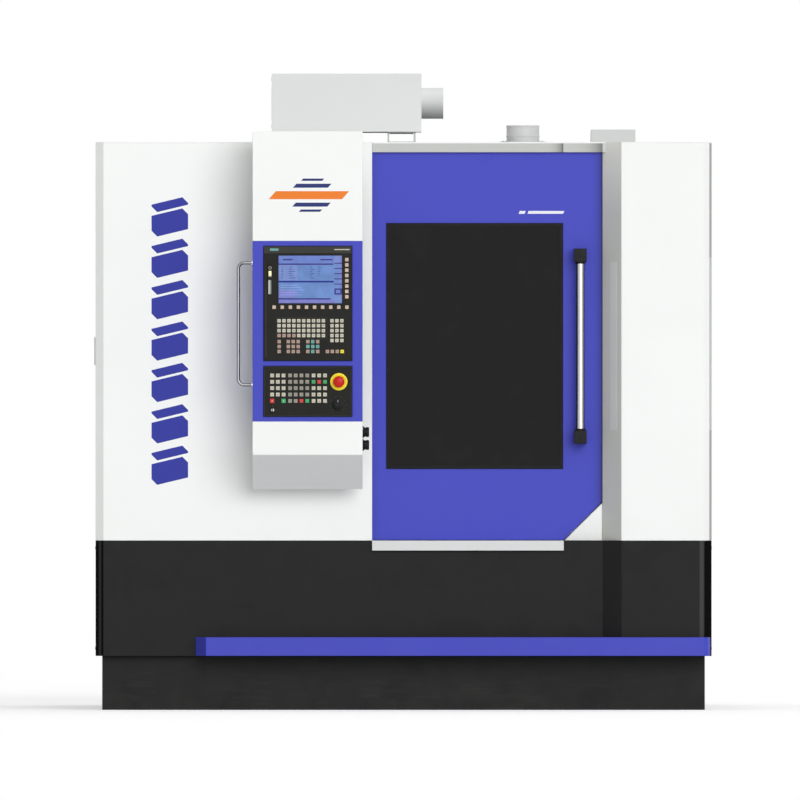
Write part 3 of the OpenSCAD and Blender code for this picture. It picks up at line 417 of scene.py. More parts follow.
def build_coats(c):
    closing = cad("door_panel")[1].x / 1000
    joint = closing - LINTEL_END / 1000
    coat("White coat", c.white, 0.42, depth=0.00025, dust=0.1, reach=0.7)
    coat("White cover", c.white, 0.36, dust=0.06, reach=0.9)
    coat("Grey coat", c.grey, 0.42, depth=0.00025, dust=0.12, reach=0.5)
    coat("Black coat", c.black, 0.55, specular=0.17, grain=520.0, depth=0.0004, dust=0.03, reach=0.2,
         scuffs=0.045)
    coat("Casting paint", c.cast, 0.5, specular=0.4, grain=130.0, depth=0.0009, dust=0.18, reach=0.6,
         marks=0.15)
    # The door's coat carries painted shade along its closing edge, where the flank stands in front of it.
    for name, run in (("Blue coat", None), ("Door coat", (closing - DOOR_SHADE_WIDTH, closing))):
        coat(name, c.blue, 0.38, specular=0.22, grain=380.0, dust=0.05, marks=0.08, shade_run=run)
    # The lintel's grey is painted shade under the roof's edge, darker still towards the joint and towards the
    # door's closing edge.
    for name, run in (("Lintel shade coat", (joint - LINTEL_SHADE_WIDTH, joint)), ("Lintel end shade coat", (joint, closing))):
        coat(name, "#c6c8c3", 0.45, specular=0.2, shade_run=run)
    coat("Duct coat", "#cacccb", 0.4, dust=0.1)
    # The flank's lining and plate are painted shade: greys over the white flank, which faces away from the
    # lamps, lighter towards the top.
    height_shaded_coat("Flank shade coat", "#dbdcd1", "#f7f8ea", low=1.74, high=1.98)
    # The duct sleeve's tone is painted shade: dark at its underside, light at its top.
    height_shaded_coat("Sleeve shade coat", "#686a6b", "#e6e7e7", low=2.066, high=2.165)
    coat("Flank plate in shade", "#e3e5e0", 0.45, specular=0.3)
    coat("Sill coat", "#dcdedd", 0.45, specular=0.2, marks=0.15)
    # Painted shade: the grey strips on the right front corner and round the collector's feet stand in for
    # their edges in shade; the pale grey also makes a bar on the card door.
    for name, code in (("Edge shade grey", "#a6a6a6"), ("Pale grey, also painted shade", "#bcbebd")):
        coat(name, code, 0.6, specular=0.2)
    for name, base in (("Livery blue", c.stripe), ("Livery orange", c.orange), ("Livery navy", "#23306f")):
        coat(name, base, 0.4, specular=0.22)
    # The skirt's corner strips: a painted highlight and painted shade on its chamfers.
    coat("Skirt painted highlight", "#313131", 0.5, grain=520.0)
    coat("Skirt painted shade", "#080808", 0.85, specular=0.05, grain=520.0)
    coat("Panel face", "#1b1b18", 0.55, specular=0.15, grain=900.0, depth=0.00012, marks=0.08)
    coat("Panel header", "#32322f", 0.5, specular=0.2, grain=900.0, depth=0.00012, marks=0.08)
    coat("Panel line", "#6e6e66", 0.5, specular=0.2, grain=900.0, depth=0.0001)
    coat("White mark", "#eef0f4", 0.45, specular=0.25, grain=600.0, depth=0.0001)
    coat("Seam", "#3a3b3c", 0.8, specular=0.1, grain=300.0, depth=0.0005)
    # Dark blocks in slots, holes and recesses: painted shade where an opening would be.
    coat("Recess painted shade", "#161616", 0.9, specular=0.05, grain=300.0, depth=0.0005)


def build_metals(c):
    metal("Brushed stainless", c.steel, 0.32, stretch=(2.0, 2.0, 160.0), depth=0.00012)
    metal("Ground steel", c.steel, 0.24, stretch=(120.0, 3.0, 3.0), depth=0.00006)
    metal("Polished steel", shade(c.steel, 1.12), 0.1, stretch=(60.0, 60.0, 1.5), depth=0.00002, marks=0.03)
    metal("Zinc plate", shade(c.steel, 0.82), 0.4, stretch=(40.0, 40.0, 40.0), depth=0.0001)
    metal("Hob coating", c.hob, 0.25, stretch=(3.0, 150.0, 3.0), depth=0.00005)
    # Both handle bars carry a painted highlight along the middle and painted shade at the edges.
    painted_sheen_bar("Handle steel", "#dededa", "#777775")
    painted_sheen_bar("Grip steel", "#8e8e90", "#7c7c80")


def build_plastics(c):
    moulded("Seal rubber", "#1a1a1a", 0.75, specular=0.2, grain=700.0, depth=0.0002)
    moulded("Black plastic", "#0b0c0d", 0.5, specular=0.2, grain=800.0, depth=0.0002)
    moulded("Cap rubber", "#050606", 0.6, specular=0.08, grain=800.0, depth=0.0002)
    moulded("Key print", "#6b675c", 0.5)
    for name, base in (("Ivory key", c.ivory), ("Dull key", "#98958a"), ("Warm key", "#cdb8a6")):
        moulded(name, base, 0.5, specular=0.25)
    for name, base, roughness in (("Brown key", c.brown, 0.45), ("Teal key", c.teal, 0.45),
                                  ("Red key", c.red, 0.4), ("Green key", c.green, 0.4),
                                  ("Yellow plastic", c.yellow, 0.38)):
        moulded(name, base, roughness)
    moulded("Red plastic", c.red, 0.34, specular=0.25)
    # Lit lens: the lamp on the card door, and a painted glow in the tank's level gauge, which is no lamp.
    moulded("Lamp lens and painted glow", "#fdf3b4", 0.2, lit=0.35)
    moulded("Work light", "#f2f4f6", 0.3, lit=0.8)
    for name, code, lit in (("Screen light", "#8fa2dc", 0.3), ("Screen steel", "#5f74b4", 0.3),
                            ("Screen violet", "#6b7fb4", 0.3), ("Screen lilac", "#7072b4", 0.3),
                            ("Screen navy", "#1f237c", 0.2), ("Screen purple", "#37317a", 0.2)):
        moulded(name, code, 0.25, specular=0.2, lit=lit)


def build_glasses(c):
    glass("Tinted window", c.glass, 0.08, specular=0.22, grain=30.0, mottle=3.0, brightest=1.1, smears=0.05)
    glass("Screen glass", c.screen, 0.15, specular=0.3, grain=600.0, mottle=16.0, brightest=1.15, lit=0.3)


# ---- Shaping ----

SIDES = {  # to the right, up and outwards, as someone facing that side sees them
    "front": ((1, 0, 0), (0, 0, 1), (0, -1, 0)),
    "rear": ((-1, 0, 0), (0, 0, 1), (0, 1, 0)),
    "left": ((0, -1, 0), (0, 0, 1), (-1, 0, 0)),
    "right": ((0, 1, 0), (0, 0, 1), (1, 0, 0)),
    "top": ((1, 0, 0), (0, 1, 0), (0, 0, 1)),
}


class Form:
    """One piece, shaped in millimetres on one side of the machine at a time."""

    def __init__(self, name):
        self.name = name
        self.mesh = bmesh.new()
        self.finishes = []
        self.place = Matrix()

    def on(self, side, level, u=0.0, v=0.0, turn=0.0):
        """Works on the plane at this level, from a place on it and turned by some degrees."""
        away = [abs(a) * level for a in SIDES[side][2]]
        return self.facing(away, *SIDES[side], (u, v, 0), turn)

    def facing(self, away, right, up, out, place=(0, 0, 0), turn=0.0):
        """Works on a plane of any direction."""
        axes = Matrix((right, up, out)).transposed().to_4x4()
        self.place = (Matrix.Translation(away) @ axes @ Matrix.Translation(place)
                      @ Matrix.Rotation(radians(turn), 4, "Z"))
        return self

    def take(self, part, finish):
        """Adds a shape to the piece, in one finish."""
        if finish not in self.finishes:
            self.finishes.append(finish)
        for face in part.faces:
            face.material_index = self.finishes.index(finish)
            face.smooth = True
        bmesh.ops.recalc_face_normals(part, faces=part.faces)
        part.transform(self.place)
        held = bpy.data.meshes.new("held")
        part.to_mesh(held)
        part.free()
        self.mesh.from_mesh(held)
        bpy.data.meshes.remove(held)
        return self

    def soften(self, part, edges, width, steps):
        if width:
            bmesh.ops.bevel(part, geom=edges, offset=width, segments=steps, profile=0.6,
                            affect="EDGES", clamp_overlap=True)

    def block(self, u, v, w, finish, edge=0.0, steps=2):
        part = bmesh.new()
        centre = Vector([(r[0] + r[1]) / 2 for r in (u, v, w)])
        size = Matrix.Diagonal([r[1] - r[0] for r in (u, v, w)] + [1])
        bmesh.ops.create_cube(part, size=1, matrix=Matrix.Translation(centre) @ size)
        self.soften(part, part.edges, edge, steps)
        return self.take(part, finish)

    def slab(self, at, wide, tall, w, finish, edge=0.0, steps=2):
        """A block with its middle at a place."""
        return self.block((at[0] - wide / 2, at[0] + wide / 2), (at[1] - tall / 2, at[1] + tall / 2),
                          w, finish, edge=edge, steps=steps)

    def prism(self, outline, w, finish, edge=0.0):
        part = bmesh.new()
        face = part.faces.new([part.verts.new((a, b, w[0])) for a, b in outline])
        raised = bmesh.ops.extrude_face_region(part, geom=[face])["geom"]
        top = [v for v in raised if isinstance(v, bmesh.types.BMVert)]
        bmesh.ops.translate(part, verts=top, vec=(0, 0, w[1] - w[0]))
        self.soften(part, [e for e in part.edges if all(v in top for v in e.verts)], edge, 2)
        return self.take(part, finish)

    def turned(self, profile, finish, at=(0.0, 0.0), steps=32, closed=False):
        """A profile of (radius, height) pairs, turned about the outward axis."""
        part = bmesh.new()
        rings = []
        for r, h in profile:
            if r < 0.001:
                rings.append([part.verts.new((at[0], at[1], h))] * steps)
            else:
                rings.append([part.verts.new((u, v, h)) for u, v in around(r, steps, at=at)])
        pairs = list(zip(rings, rings[1:])) + ([(rings[-1], rings[0])] if closed else [])
        for low, high in pairs:
            for i in range(steps):
                j = (i + 1) % steps
                corners = list(dict.fromkeys((low[i], low[j], high[j], high[i])))
                if len(corners) > 2:
                    part.faces.new(corners)
        if not closed:
            for ring in (rings[0], rings[-1]):
                if ring[0] is not ring[1]:
                    part.faces.new(ring)
        return self.take(part, finish)

    def disc(self, r, w, finish, at=(0.0, 0.0), steps=32, cut=(0.0, 0.0)):
        """A disc whose upper edge is cut back by a width and a depth."""
        sides = [(r, w[0]), (r, w[1] - cut[1])]
        rim = [(r - cut[0], w[1])] if cut[0] else []
        return self.turned(sides + rim + [(0, w[1])], finish, at, steps=steps)

    def ring(self, inner, outer, w, finish, at=(0.0, 0.0), steps=48, cut=(0.0, 0.0)):
        """A ring whose upper outer edge is cut back by a width and a depth."""
        rim = [(outer - cut[0], w[1])] if cut[0] else []
        sides = [(inner, w[0]), (outer, w[0]), (outer, w[1] - cut[1])]
        return self.turned(sides + rim + [(inner, w[1])], finish, at, steps=steps, closed=True)

    def pipe(self, path, d, finish, steps=14):
        """A round tube along a path of points."""
        part = bmesh.new()
        points = [Vector(p) for p in path]
        rings, side = [], None
        for i, point in enumerate(points):
            ahead = (points[min(i + 1, len(points) - 1)] - points[max(i - 1, 0)]).normalized()
            side = side or ahead.orthogonal()
            side = (side - ahead * side.dot(ahead)).normalized()
            up = ahead.cross(side)
            rings.append([part.verts.new(point + side * a + up * b) for a, b in around(d / 2, steps)])
        for low, high in zip(rings, rings[1:]):
            for k in range(steps):
                n = (k + 1) % steps
                part.faces.new((low[k], low[n], high[n], high[k]))
        part.faces.new(rings[0])
        part.faces.new(rings[-1])
        return self.take(part, finish)

    def screws(self, places, finish="Zinc plate", height=3.0, d=None):
        """Button head screws with a hexagon recess, painted dark as shade."""
        r = (d or sizes().screw_head * 1000) / 2
        profile = [(r, 0), (r, height * 0.35), (r * 0.86, height * 0.75), (r * 0.6, height), (0, height)]
        for place in places:
            self.turned(profile, finish, place, steps=18)
            self.prism(around(r * 0.42, 6, at=place), (height - 0.1, height + 0.05), "Recess painted shade")
        return self

    def ribs(self, radius, count, thick, w, finish, at=(0.0, 0.0), steps=8):
        """Fine upright ribs round a knob or a cap."""
        for place in around(radius, count, at=at):
            self.turned([(thick, w[0]), (thick, w[1])], finish, place, steps=steps)

    def rim(self, u, v, w, width, finish, edge=0.0):
        """A rectangular frame of four strips."""
        inside = (v[0] + width, v[1] - width)
        for across, up in ((u, (v[0], inside[0])), (u, (inside[1], v[1])),
                           ((u[0], u[0] + width), inside), ((u[1] - width, u[1]), inside)):
            self.block(across, up, w, finish, edge=edge)
        return self

    def seam(self, u, v, height=0.25):
        """The dark line between two covers, along whichever of u and v is a range."""
        half = sizes().seam * 1000 / 2
        across, up = ((r - half, r + half) if isinstance(r, (int, float)) else r for r in (u, v))
        return self.block(across, up, (0, height), "Seam")

    def cover(self, u, v, thick, finish, edge, inset, height, rows=2, d=None, screw="Zinc plate"):
        """A flat cover with rows of screws near its left and right edges."""
        self.block(u, v, (0, thick), finish, edge=edge)
        low, high = v[0] + inset[1], v[1] - inset[1]
        up = [low + (high - low) * i / (rows - 1) for i in range(rows)]
        return self.screws(grid((u[0] + inset[0], u[1] - inset[0]), up), screw, height=height, d=d)

    def louvres(self, u, v, depth, finish, rows=None):
        """Pressed hoods that open downwards, each over a dark strip of painted shade for its slot."""
        rows = rows or sizes().louvres
        pitch = (v[1] - v[0]) / rows
        end = min(12.0, (u[1] - u[0]) / 8)
        for i in range(rows):
            low, high = v[0] + i * pitch + pitch * 0.15, v[0] + (i + 1) * pitch - pitch * 0.12
            part = bmesh.new()
            corners = [(u[0], low, 0), (u[1], low, 0), (u[0] + end, high, 0), (u[1] - end, high, 0),
                       (u[0] + end * 0.4, low, depth), (u[1] - end * 0.4, low, depth)]
            a, b, c, d, e, f = [part.verts.new(p) for p in corners]
            for face in ((e, f, d, c), (a, e, c), (b, d, f), (a, b, f, e), (a, c, d, b)):
                part.faces.new(face)
            self.take(part, finish)
            self.block((u[0] + end * 0.5, u[1] - end * 0.5), (low - pitch * 0.13, low + 0.2),
                       (0, min(0.4, depth * 0.2)), "Recess painted shade")
        return self

    def done(self, body, slot, *replaced):
        """Makes the piece and tells the frame its body and the parts that it replaces; its slot is not used.
        """
        self.mesh.transform(Matrix.Scale(0.001, 4))
        mesh = bpy.data.meshes.new(self.name)
        self.mesh.to_mesh(mesh)
        self.mesh.free()
        mesh.set_sharp_from_angle(angle=radians(34))
        for finish in self.finishes:
            mesh.materials.append(bpy.data.materials[finish])
        piece = bpy.data.objects.new(self.name, mesh)
        bpy.context.scene.collection.objects.link(piece)
        flat = piece.modifiers.new("Level flat faces", "WEIGHTED_NORMAL")
        flat.keep_sharp = True
        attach(piece, body)
        if replaced:
            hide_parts(*replaced)
        return piece


# ---- The frame's own parts ----

FINISH_OF = {
    "White coat": ("door_frame", "left_side_wall", "right_side_wall", "left_side_door",
                   "rear_wall", "roof_panel", "mist_brackets"),
    "White cover": ("left_front_cover", "right_front_cover", "console_top_cover",
                    "console_bottom_cover"),
    "Sill coat": ("door_sill",),
    "Duct coat": ("exhaust_stub", "roof_service_box"),
    "Black coat": ("base_plinth", "lower_skirt", "console_bracket", "coolant_tank"),
    "Blue coat": ("accent_strip", "console_centre_cover"),
    "Door coat": ("door_panel",),
    "Grey coat": ("mist_collector", "electrical_cabinet", "cabinet_door", "coolant_pumps"),
    "Casting paint": ("machine_bed", "tailstock_column", "radial_column", "axial_slide",
                      "swivel_head", "shift_slide", "tailstock_arm"),
    "Zinc plate": ("levelling_feet", "mist_fan", "door_rails"),
    "Brushed stainless": ("splash_guards",),
    "Ground steel": ("hob_arbor", "rotary_table", "work_fixture", "live_centre", "key_switch"),
    "Handle steel": ("door_handle_bar",),
    "Grip steel": ("grab_handle",),
    "Panel face": ("operator_panel", "control_panel"),
    "Tinted window": ("door_window",),
    "Screen glass": ("operator_screen",),
    "Seal rubber": ("door_gasket",),
    "Black plastic": ("card_door", "door_handle_mounts", "override_knob"),
    "Cap rubber": ("connector_caps",),
    "Red plastic": ("estop_button", "main_switch"),
    "Red key": ("stop_key",),
    "Green key": ("start_key",),
    "Hob coating": ("hob",),
    "Ivory key": ("operator_keys", "control_keys"),
}
SHEETS = ("door_frame", "left_side_wall", "right_side_wall", "left_side_door", "rear_wall",
          "roof_panel", "left_front_cover", "right_front_cover", "door_sill", "base_plinth",
          "lower_skirt", "accent_strip", "door_panel", "mist_collector", "roof_service_box",
          "electrical_cabinet", "cabinet_door", "coolant_tank", "mist_brackets", "operator_panel",
          "control_panel", "door_handle_mounts")
COVERS = ("console_top_cover", "console_bottom_cover", "console_centre_cover")
CASTINGS = FINISH_OF["Casting paint"]


def ease(node, width):
    """Rounds the edges of a frame part with modifiers."""
    part = frame["nodes"][node]
    weld = part.modifiers.new("Join corners", "WELD")
    weld.merge_threshold = 0.00001
    flat = part.modifiers.new("Join flat faces", "DECIMATE")
    flat.decimate_type, flat.angle_limit = "DISSOLVE", radians(0.6)
    edge = part.modifiers.new("Eased edges", "BEVEL")
    edge.width, edge.segments = width, 2
    edge.limit_method, edge.angle_limit = "ANGLE", radians(38)


class GEAR_OT_finishes(bpy.types.Operator):
    """Mixes the paints, metals, plastics and glass of the machine"""
    bl_idname = "gear.finishes"
    bl_label = "Finishes"

    def execute(self, context):
        build_effects()
        for build in (build_coats, build_metals, build_plastics, build_glasses):
            build(colours())
        return {"FINISHED"}


class GEAR_OT_frame_parts(bpy.types.Operator):
    """Paints the frame's own parts and eases their edges"""
    bl_idname = "gear.frame_parts"
    bl_label = "Frame parts"

    def execute(self, context):
        for finish, nodes in FINISH_OF.items():
            for node in nodes:
                for place in frame["nodes"][node].material_slots:
                    place.material = bpy.data.materials[finish]
        for nodes, width in ((SHEETS, sizes().sheet_edge), (COVERS, sizes().cover_edge),
                             (CASTINGS, sizes().casting_edge)):
            for node in nodes:
                ease(node, width)
        return {"FINISHED"}


# ---- Covers and walls ----

def cover_ring(form, across, rows, spacing, height):
    """Screws up both upright edges of a cover and along its top and bottom."""
    places = grid(across, spaced(*rows, spacing))
    places += [(u, v) for v in rows for u in spaced(*across, spacing)[1:-1]]
    return form.screws(places, height=height)


class GEAR_OT_front_trim(bpy.types.Operator):
    """Fits the lintel's grey strip of painted shade, the corner apron, the flank's lining of painted shade
    and the grey corner strips of painted shade
    """
    bl_idname = "gear.front_trim"
    bl_label = "Front trim"

    def execute(self, context):
        door, left, right = cad("door_panel"), cad("left_front_cover"), cad("right_front_cover")
        top, skirt = cad("roof_panel")[1].z, cad("lower_skirt")[1].z
        joint, half_gap, behind = door[1].x - LINTEL_END, 1, -3.8
        overlap, below_roof = 9.5, 4.2
        rows = (door[1].z - overlap, top - below_roof)
        # A grey strip of painted shade over the lintel, where the white lintel lies in the roof's shade.
        trim = Form("lintel_shade_strip").on("front", door[0].y - 15)
        for u, finish in (((left[1].x + 0.4, joint - half_gap), "Lintel shade coat"),
                          ((joint + half_gap, right[0].x), "Lintel end shade coat"),
                          ((right[0].x, right[0].x + 10), "Duct coat")):
            trim.block(u, rows, (behind, 0.8), finish, edge=0.4)
        trim.block((joint - half_gap, joint + half_gap), rows, (behind, 0.4), "Seam")
        trim.done("enclosure", "white_paint")

        apron = Form("corner_apron").on("front", door[0].y + 6)
        end, low, high = right[0].x - 0.5, skirt + 0.5, skirt + 132
        apron.prism([(joint + 6, low), (end, low), (end, high)], (-26, 0), "White cover", edge=0.8)
        apron.done("enclosure", "white_paint")

        plate_low, plate_high = 980, 1568
        run, out = Vector((*FLANK_RUN, 0)), Vector((FLANK_RUN[1], -FLANK_RUN[0], 0))
        strip = Form("flank_shade_strip").facing((right[0].x, door[0].y, 0), run.normalized(), (0, 0, 1),
                                           out.normalized())
        # A darker lining and plate over the slanted flank: painted shade.
        strip.block((0.6, 110.6), (skirt + 1, top - 1), (0, 0.35), "Flank shade coat")
        strip.block((46, 82), (plate_low, plate_high), (0.3, 1.0), "Flank plate in shade", edge=0.5)
        strip.done("enclosure", "white_paint")

        # Grey strips on the right front corner: painted shade of the side wall's front edge, paler where the
        # side panel stands out.
        joints = Form("corner_shade_strips").on("front", right[0].y + 31, right[1].x)
        for v, finish in (((skirt + 1, plate_low), "Edge shade grey"),
                          ((plate_low, plate_high + 16), "Pale grey, also painted shade"),
                          ((plate_high + 16, top - 4.5), "Edge shade grey")):
            joints.block((-9, 0.3), v, (0, 11), finish, edge=0.3)
        joints.done("enclosure", "white_paint")
        return {"FINISHED"}


class GEAR_OT_livery(bpy.types.Operator):
    """Lays plain slanted blocks on the left cover, the console and the door"""
    bl_idname = "gear.livery"
    bl_label = "Livery"

    def execute(self, context):
        film, bevel = (0, 0.35), 0.15
        blocks = Form("cover_livery").on("front", cad("left_front_cover")[0].y)
        x0, x1, low, high = -882, -754, 788, 1802
        lean, cut = 26, 20
        count = 7
        pitch = (high - low) / count
        for i in range(count):
            for share, tall in ((0, pitch * 0.5), (0.59, pitch * 0.18)):
                v = low + (i + share) * pitch
                blocks.prism([(x0, v + cut), (x0 + cut, v), (x1, v + lean), (x1, v + lean + tall - cut),
                              (x1 - cut, v + lean + tall), (x0, v + tall)], film, "Livery blue", edge=bevel)
        blocks.done("enclosure", "blue_paint")

        bars = Form("console_livery").on("front", cad("console_top_cover")[0].y,
                                         middle("console_top_cover").x + 15, 1800)
        for u0, u1, v0, v1, finish in ((-138, 118, -14, 14, "Livery orange"),
                                       (-60, 62, 26, 40, "Livery navy"),
                                       (-62, 60, -40, -26, "Livery navy"),
                                       (-34, 40, 50, 58, "Livery navy"),
                                       (-42, 32, -58, -50, "Livery navy")):
            lean = (v1 - v0) * 0.45
            bars.prism([(u0 - lean, v0), (u1 - lean, v0), (u1 + lean, v1), (u0 + lean, v1)],
                       film, finish, edge=bevel)
        bars.done("console", "white_paint")

        rule = Form("door_livery").on("front", cad("door_panel")[0].y)
        low, high, lean = 1737, 1747, 4
        for u0, u1 in ((403, 428), (434, 563)):
            rule.prism([(u0, low), (u1 - lean, low), (u1, high), (u0 + lean, high)],
                       film, "White mark", edge=0.1)
        rule.done("front_door", "white_paint")
        return {"FINISHED"}


def wall_edges(form, way, wall, base, top, heights):
    """Seams and screws round a side wall, also in front of its front edge."""
    inset, end_inset, spacing = 22, 24, 260
    front, rear, rows = wall[0].y, wall[1].y, wider((base, top), -end_inset)
    form.seam(way * front, (base, top))
    form.seam(sorted((way * front, way * (rear - 2))), base)
    cover_ring(form, sorted((way * (front + inset), way * (rear - inset))), rows, spacing, heights[0])
    form.screws(grid((way * (front - end_inset),), spaced(*rows, spacing)), height=heights[1])


class GEAR_OT_side_walls(bpy.types.Operator):
    """Fits seams, screws and louvres to both side walls and the skirt, and strips of painted shade and
    highlight to the skirt's corners
    """
    bl_idname = "gear.side_walls"
    bl_label = "Side walls"

    def execute(self, context):
        wall, skirt, plinth = cad("left_side_wall"), cad("lower_skirt"), cad("base_plinth")
        front = cad("left_front_cover")[0]
        base, top = skirt[1].z, cad("roof_panel")[1].z - 4

        form = Form("left_wall_fittings").on("left", front.x)
        wall_edges(form, -1, wall, base, top, (1.5, 1.2))
        vent, hatch = ((-650, -340), (1500, 1800)), ((-630, -370), (710, 1170))
        form.louvres(*vent, 7, "White coat")
        for field, more, width in ((vent, 18, 8), (hatch, 10, 5)):
            form.rim(*(wider(span, more) for span in field), (0, 1.6), width, "White coat", edge=1.2)
        form.cover(*hatch, 1.8, "White coat", edge=1.4, inset=(15, 15), height=4.2)
        form.done("enclosure", "white_paint")

        form = Form("right_wall_fittings").on("right", cad("right_front_cover")[1].x)
        wall_edges(form, 1, wall, base, top, (1.8, 1.8))
        for u in ((250, 560), (-560, -250)):
            form.louvres(u, (1640, 1880), 1.9, "White coat", rows=8)
        form.screws(grid((wall[0].y + 46, wall[1].y - 106), spaced(900, 1560, 165)), height=1.6, d=10)
        form.cover((-340, 340), (660, 850), 1.2, "White coat", edge=1.0, inset=(18, 18), height=1.9, d=11)
        form.done("enclosure", "white_paint")

        form = Form("skirt_fittings")
        z0, z1, corner = skirt[0].z, skirt[1].z, 28
        rows, thin = (z0 + 0.5, z1 - 0.5), (0, 0.3)
        for side, way, x, foot in (("left", -1, skirt[0].x, plinth[0].x),
                                   ("right", 1, skirt[1].x, plinth[1].x)):
            form.on(side, x)
            form.screws([(way * y, v) for y in spaced(-780, 670, 290) for v in (z0 + 26, z1 - 26)],
                        "Black plastic", height=1.8, d=12)
            form.cover((way * 120 - 190, way * 120 + 190), (z0 + 90, z1 - 90), 1.0, "Black coat", edge=0.8,
                       inset=(18, 18), height=1.9, d=11)
            form.on(side, foot).slab((way * 240, 90), 360, 80, (0, 1.2), "Black coat", edge=0.8)
        # Dark strips on the skirt's chamfers: painted shade.
        for way, y, strips in ((-1, front.y, ((1, 11), (24, 39.4))), (1, skirt[0].y, ((5, 39.4),))):
            edge = Vector((way, 1, 0)).normalized()
            form.facing((way * (skirt[1].x - corner), y, 0), edge * -way, (0, 0, 1),
                        Vector((way, -1, 0)).normalized())
            for a, b in strips:
                form.block(sorted((-way * a, -way * b)), rows, thin, "Skirt painted shade")
        # A lighter strip beside the right chamfer: painted highlight.
        form.on("front", skirt[0].y)
        form.block((skirt[1].x - 42, skirt[1].x - corner), rows, thin, "Skirt painted highlight")
        form.done("enclosure", "black_paint")

        form = Form("side_door_fittings").on("left", cad("left_side_door")[1].x - 4)
        form.rim((-190, 290), (862, 1738), (0, 1.8), 7, "White coat", edge=1.4)
        for v in (945, 1650):
            form.disc(17, (0, 4.2), "Zinc plate", (318, v), steps=28, cut=(3, 1.8))
            form.slab((318, v), 24, 3.2, (4.1, 4.4), "Recess painted shade")
        for v in (1208 - 8.5, 1306 + 8.5):
            form.slab((303, v), 22, 15, (0, 3.0), "Black plastic", edge=1.2)
            form.screws([(303, v)], height=4.4, d=8)
        form.done("side_door", "white_paint")
        return {"FINISHED"}


class GEAR_OT_roof(bpy.types.Operator):
    """Fits the roof seams, the collector's latches and the ducts' beads"""
    bl_idname = "gear.roof"
    bl_label = "Roof"

    def execute(self, context):
        roof, mist, stub, box = (cad(n) for n in ("roof_panel", "mist_collector", "exhaust_stub",
                                                  "roof_service_box"))
        form = Form("roof_fittings").on("top", roof[1].z)
        beside, screw_rows = 26, spaced(-400, 670, 265)
        for u in (-540, 520):
            form.seam(u, (-820, roof[1].y - 6))
            form.screws(grid(wider((u, u), beside), screw_rows), height=2.2)
        form.seam(wider((roof[0].x, roof[1].x), -8), 560)
        form.screws(grid(wider((roof[0].x, roof[1].x), -beside), screw_rows), height=2.2)
        form.cover((-960, -660), (60, 420), 3, "White coat", edge=1.5, inset=(15, 15), height=5)
        form.done("enclosure", "white_paint")

        form = Form("collector_fittings")
        low, high = mist[0].z, mist[1].z
        duct = low + 102
        feet, foot_w = cad("mist_brackets"), 98
        form.on("front", feet[0].y)
        # Thin grey outlines of the feet: painted shade at their edges.
        for u in (feet[0].x, feet[1].x - foot_w):
            form.rim((u, u + foot_w), (feet[0].z, feet[1].z), (0, 0.6), 4, "Edge shade grey", edge=0.2)
        form.on("rear", mist[1].y)
        form.rim((-30, 440), (low + 14, high - 14), (0, 5), 12, "Grey coat", edge=2)
        form.louvres((60, 350), (low + 40, high - 40), 9, "Grey coat", rows=6)
        for u in (-6, 416):
            form.slab((u, duct), 18, 36, (5, 14), "Zinc plate", edge=2)
            form.slab((u, duct), 12, 64, (3, 9), "Black plastic", edge=2)
        form.on("left", mist[0].x)
        vent = (350, duct)
        form.disc(66, (0, 1.4), "Grey coat", vent, steps=48, cut=(3, 0.6))
        for place in around(42, 12, at=vent):
            form.disc(8, (1.4, 1.6), "Recess painted shade", place, steps=16)
        form.screws(grid((120, 580), (low + 20, high - 20)), "Grey coat", height=1.4)
        form.on("right", mist[1].x - 77)
        # The sleeve carries painted shade, darker towards its underside.
        form.turned([(53.5, 0.2), (54.3, 0.2), (54.3, 73), (55, 74.5), (54.3, 76.8), (52, 76.8)],
                    "Sleeve shade coat", (-350, duct), steps=64, closed=True)
        form.done("enclosure", "gray_paint")

        centre = middle("exhaust_stub").xy
        r = (stub[1].x - stub[0].x) / 2 - 25
        form = Form("duct_fittings").on("top", roof[1].z)
        form.screws(around(r + 13, 8, 0.2, centre), height=9, d=9)
        for h in (24, stub[1].z - roof[1].z - 4):
            form.turned([(r - 0.2, h - 3), (r + 1.6, h - 1.4), (r + 1.6, h + 1.4), (r - 0.2, h + 3)],
                        "Duct coat", centre, steps=48, closed=True)
        form.on("top", box[1].z)
        form.block((box[0].x + 30, box[1].x - 30), (box[0].y + 60, box[1].y - 60), (-0.2, 0.5),
                   "Duct coat", edge=0.3)
        form.on("rear", box[1].y, -box[0].x, box[0].z + 24)
        for u in (-45, -105):
            form.turned([(15, 0), (15, 8), (11, 8), (11, 22), (0, 22)], "Black plastic", (u, 0), steps=12)
        form.done("enclosure", "gray_paint")
        return {"FINISHED"}


# ---- Front door ----

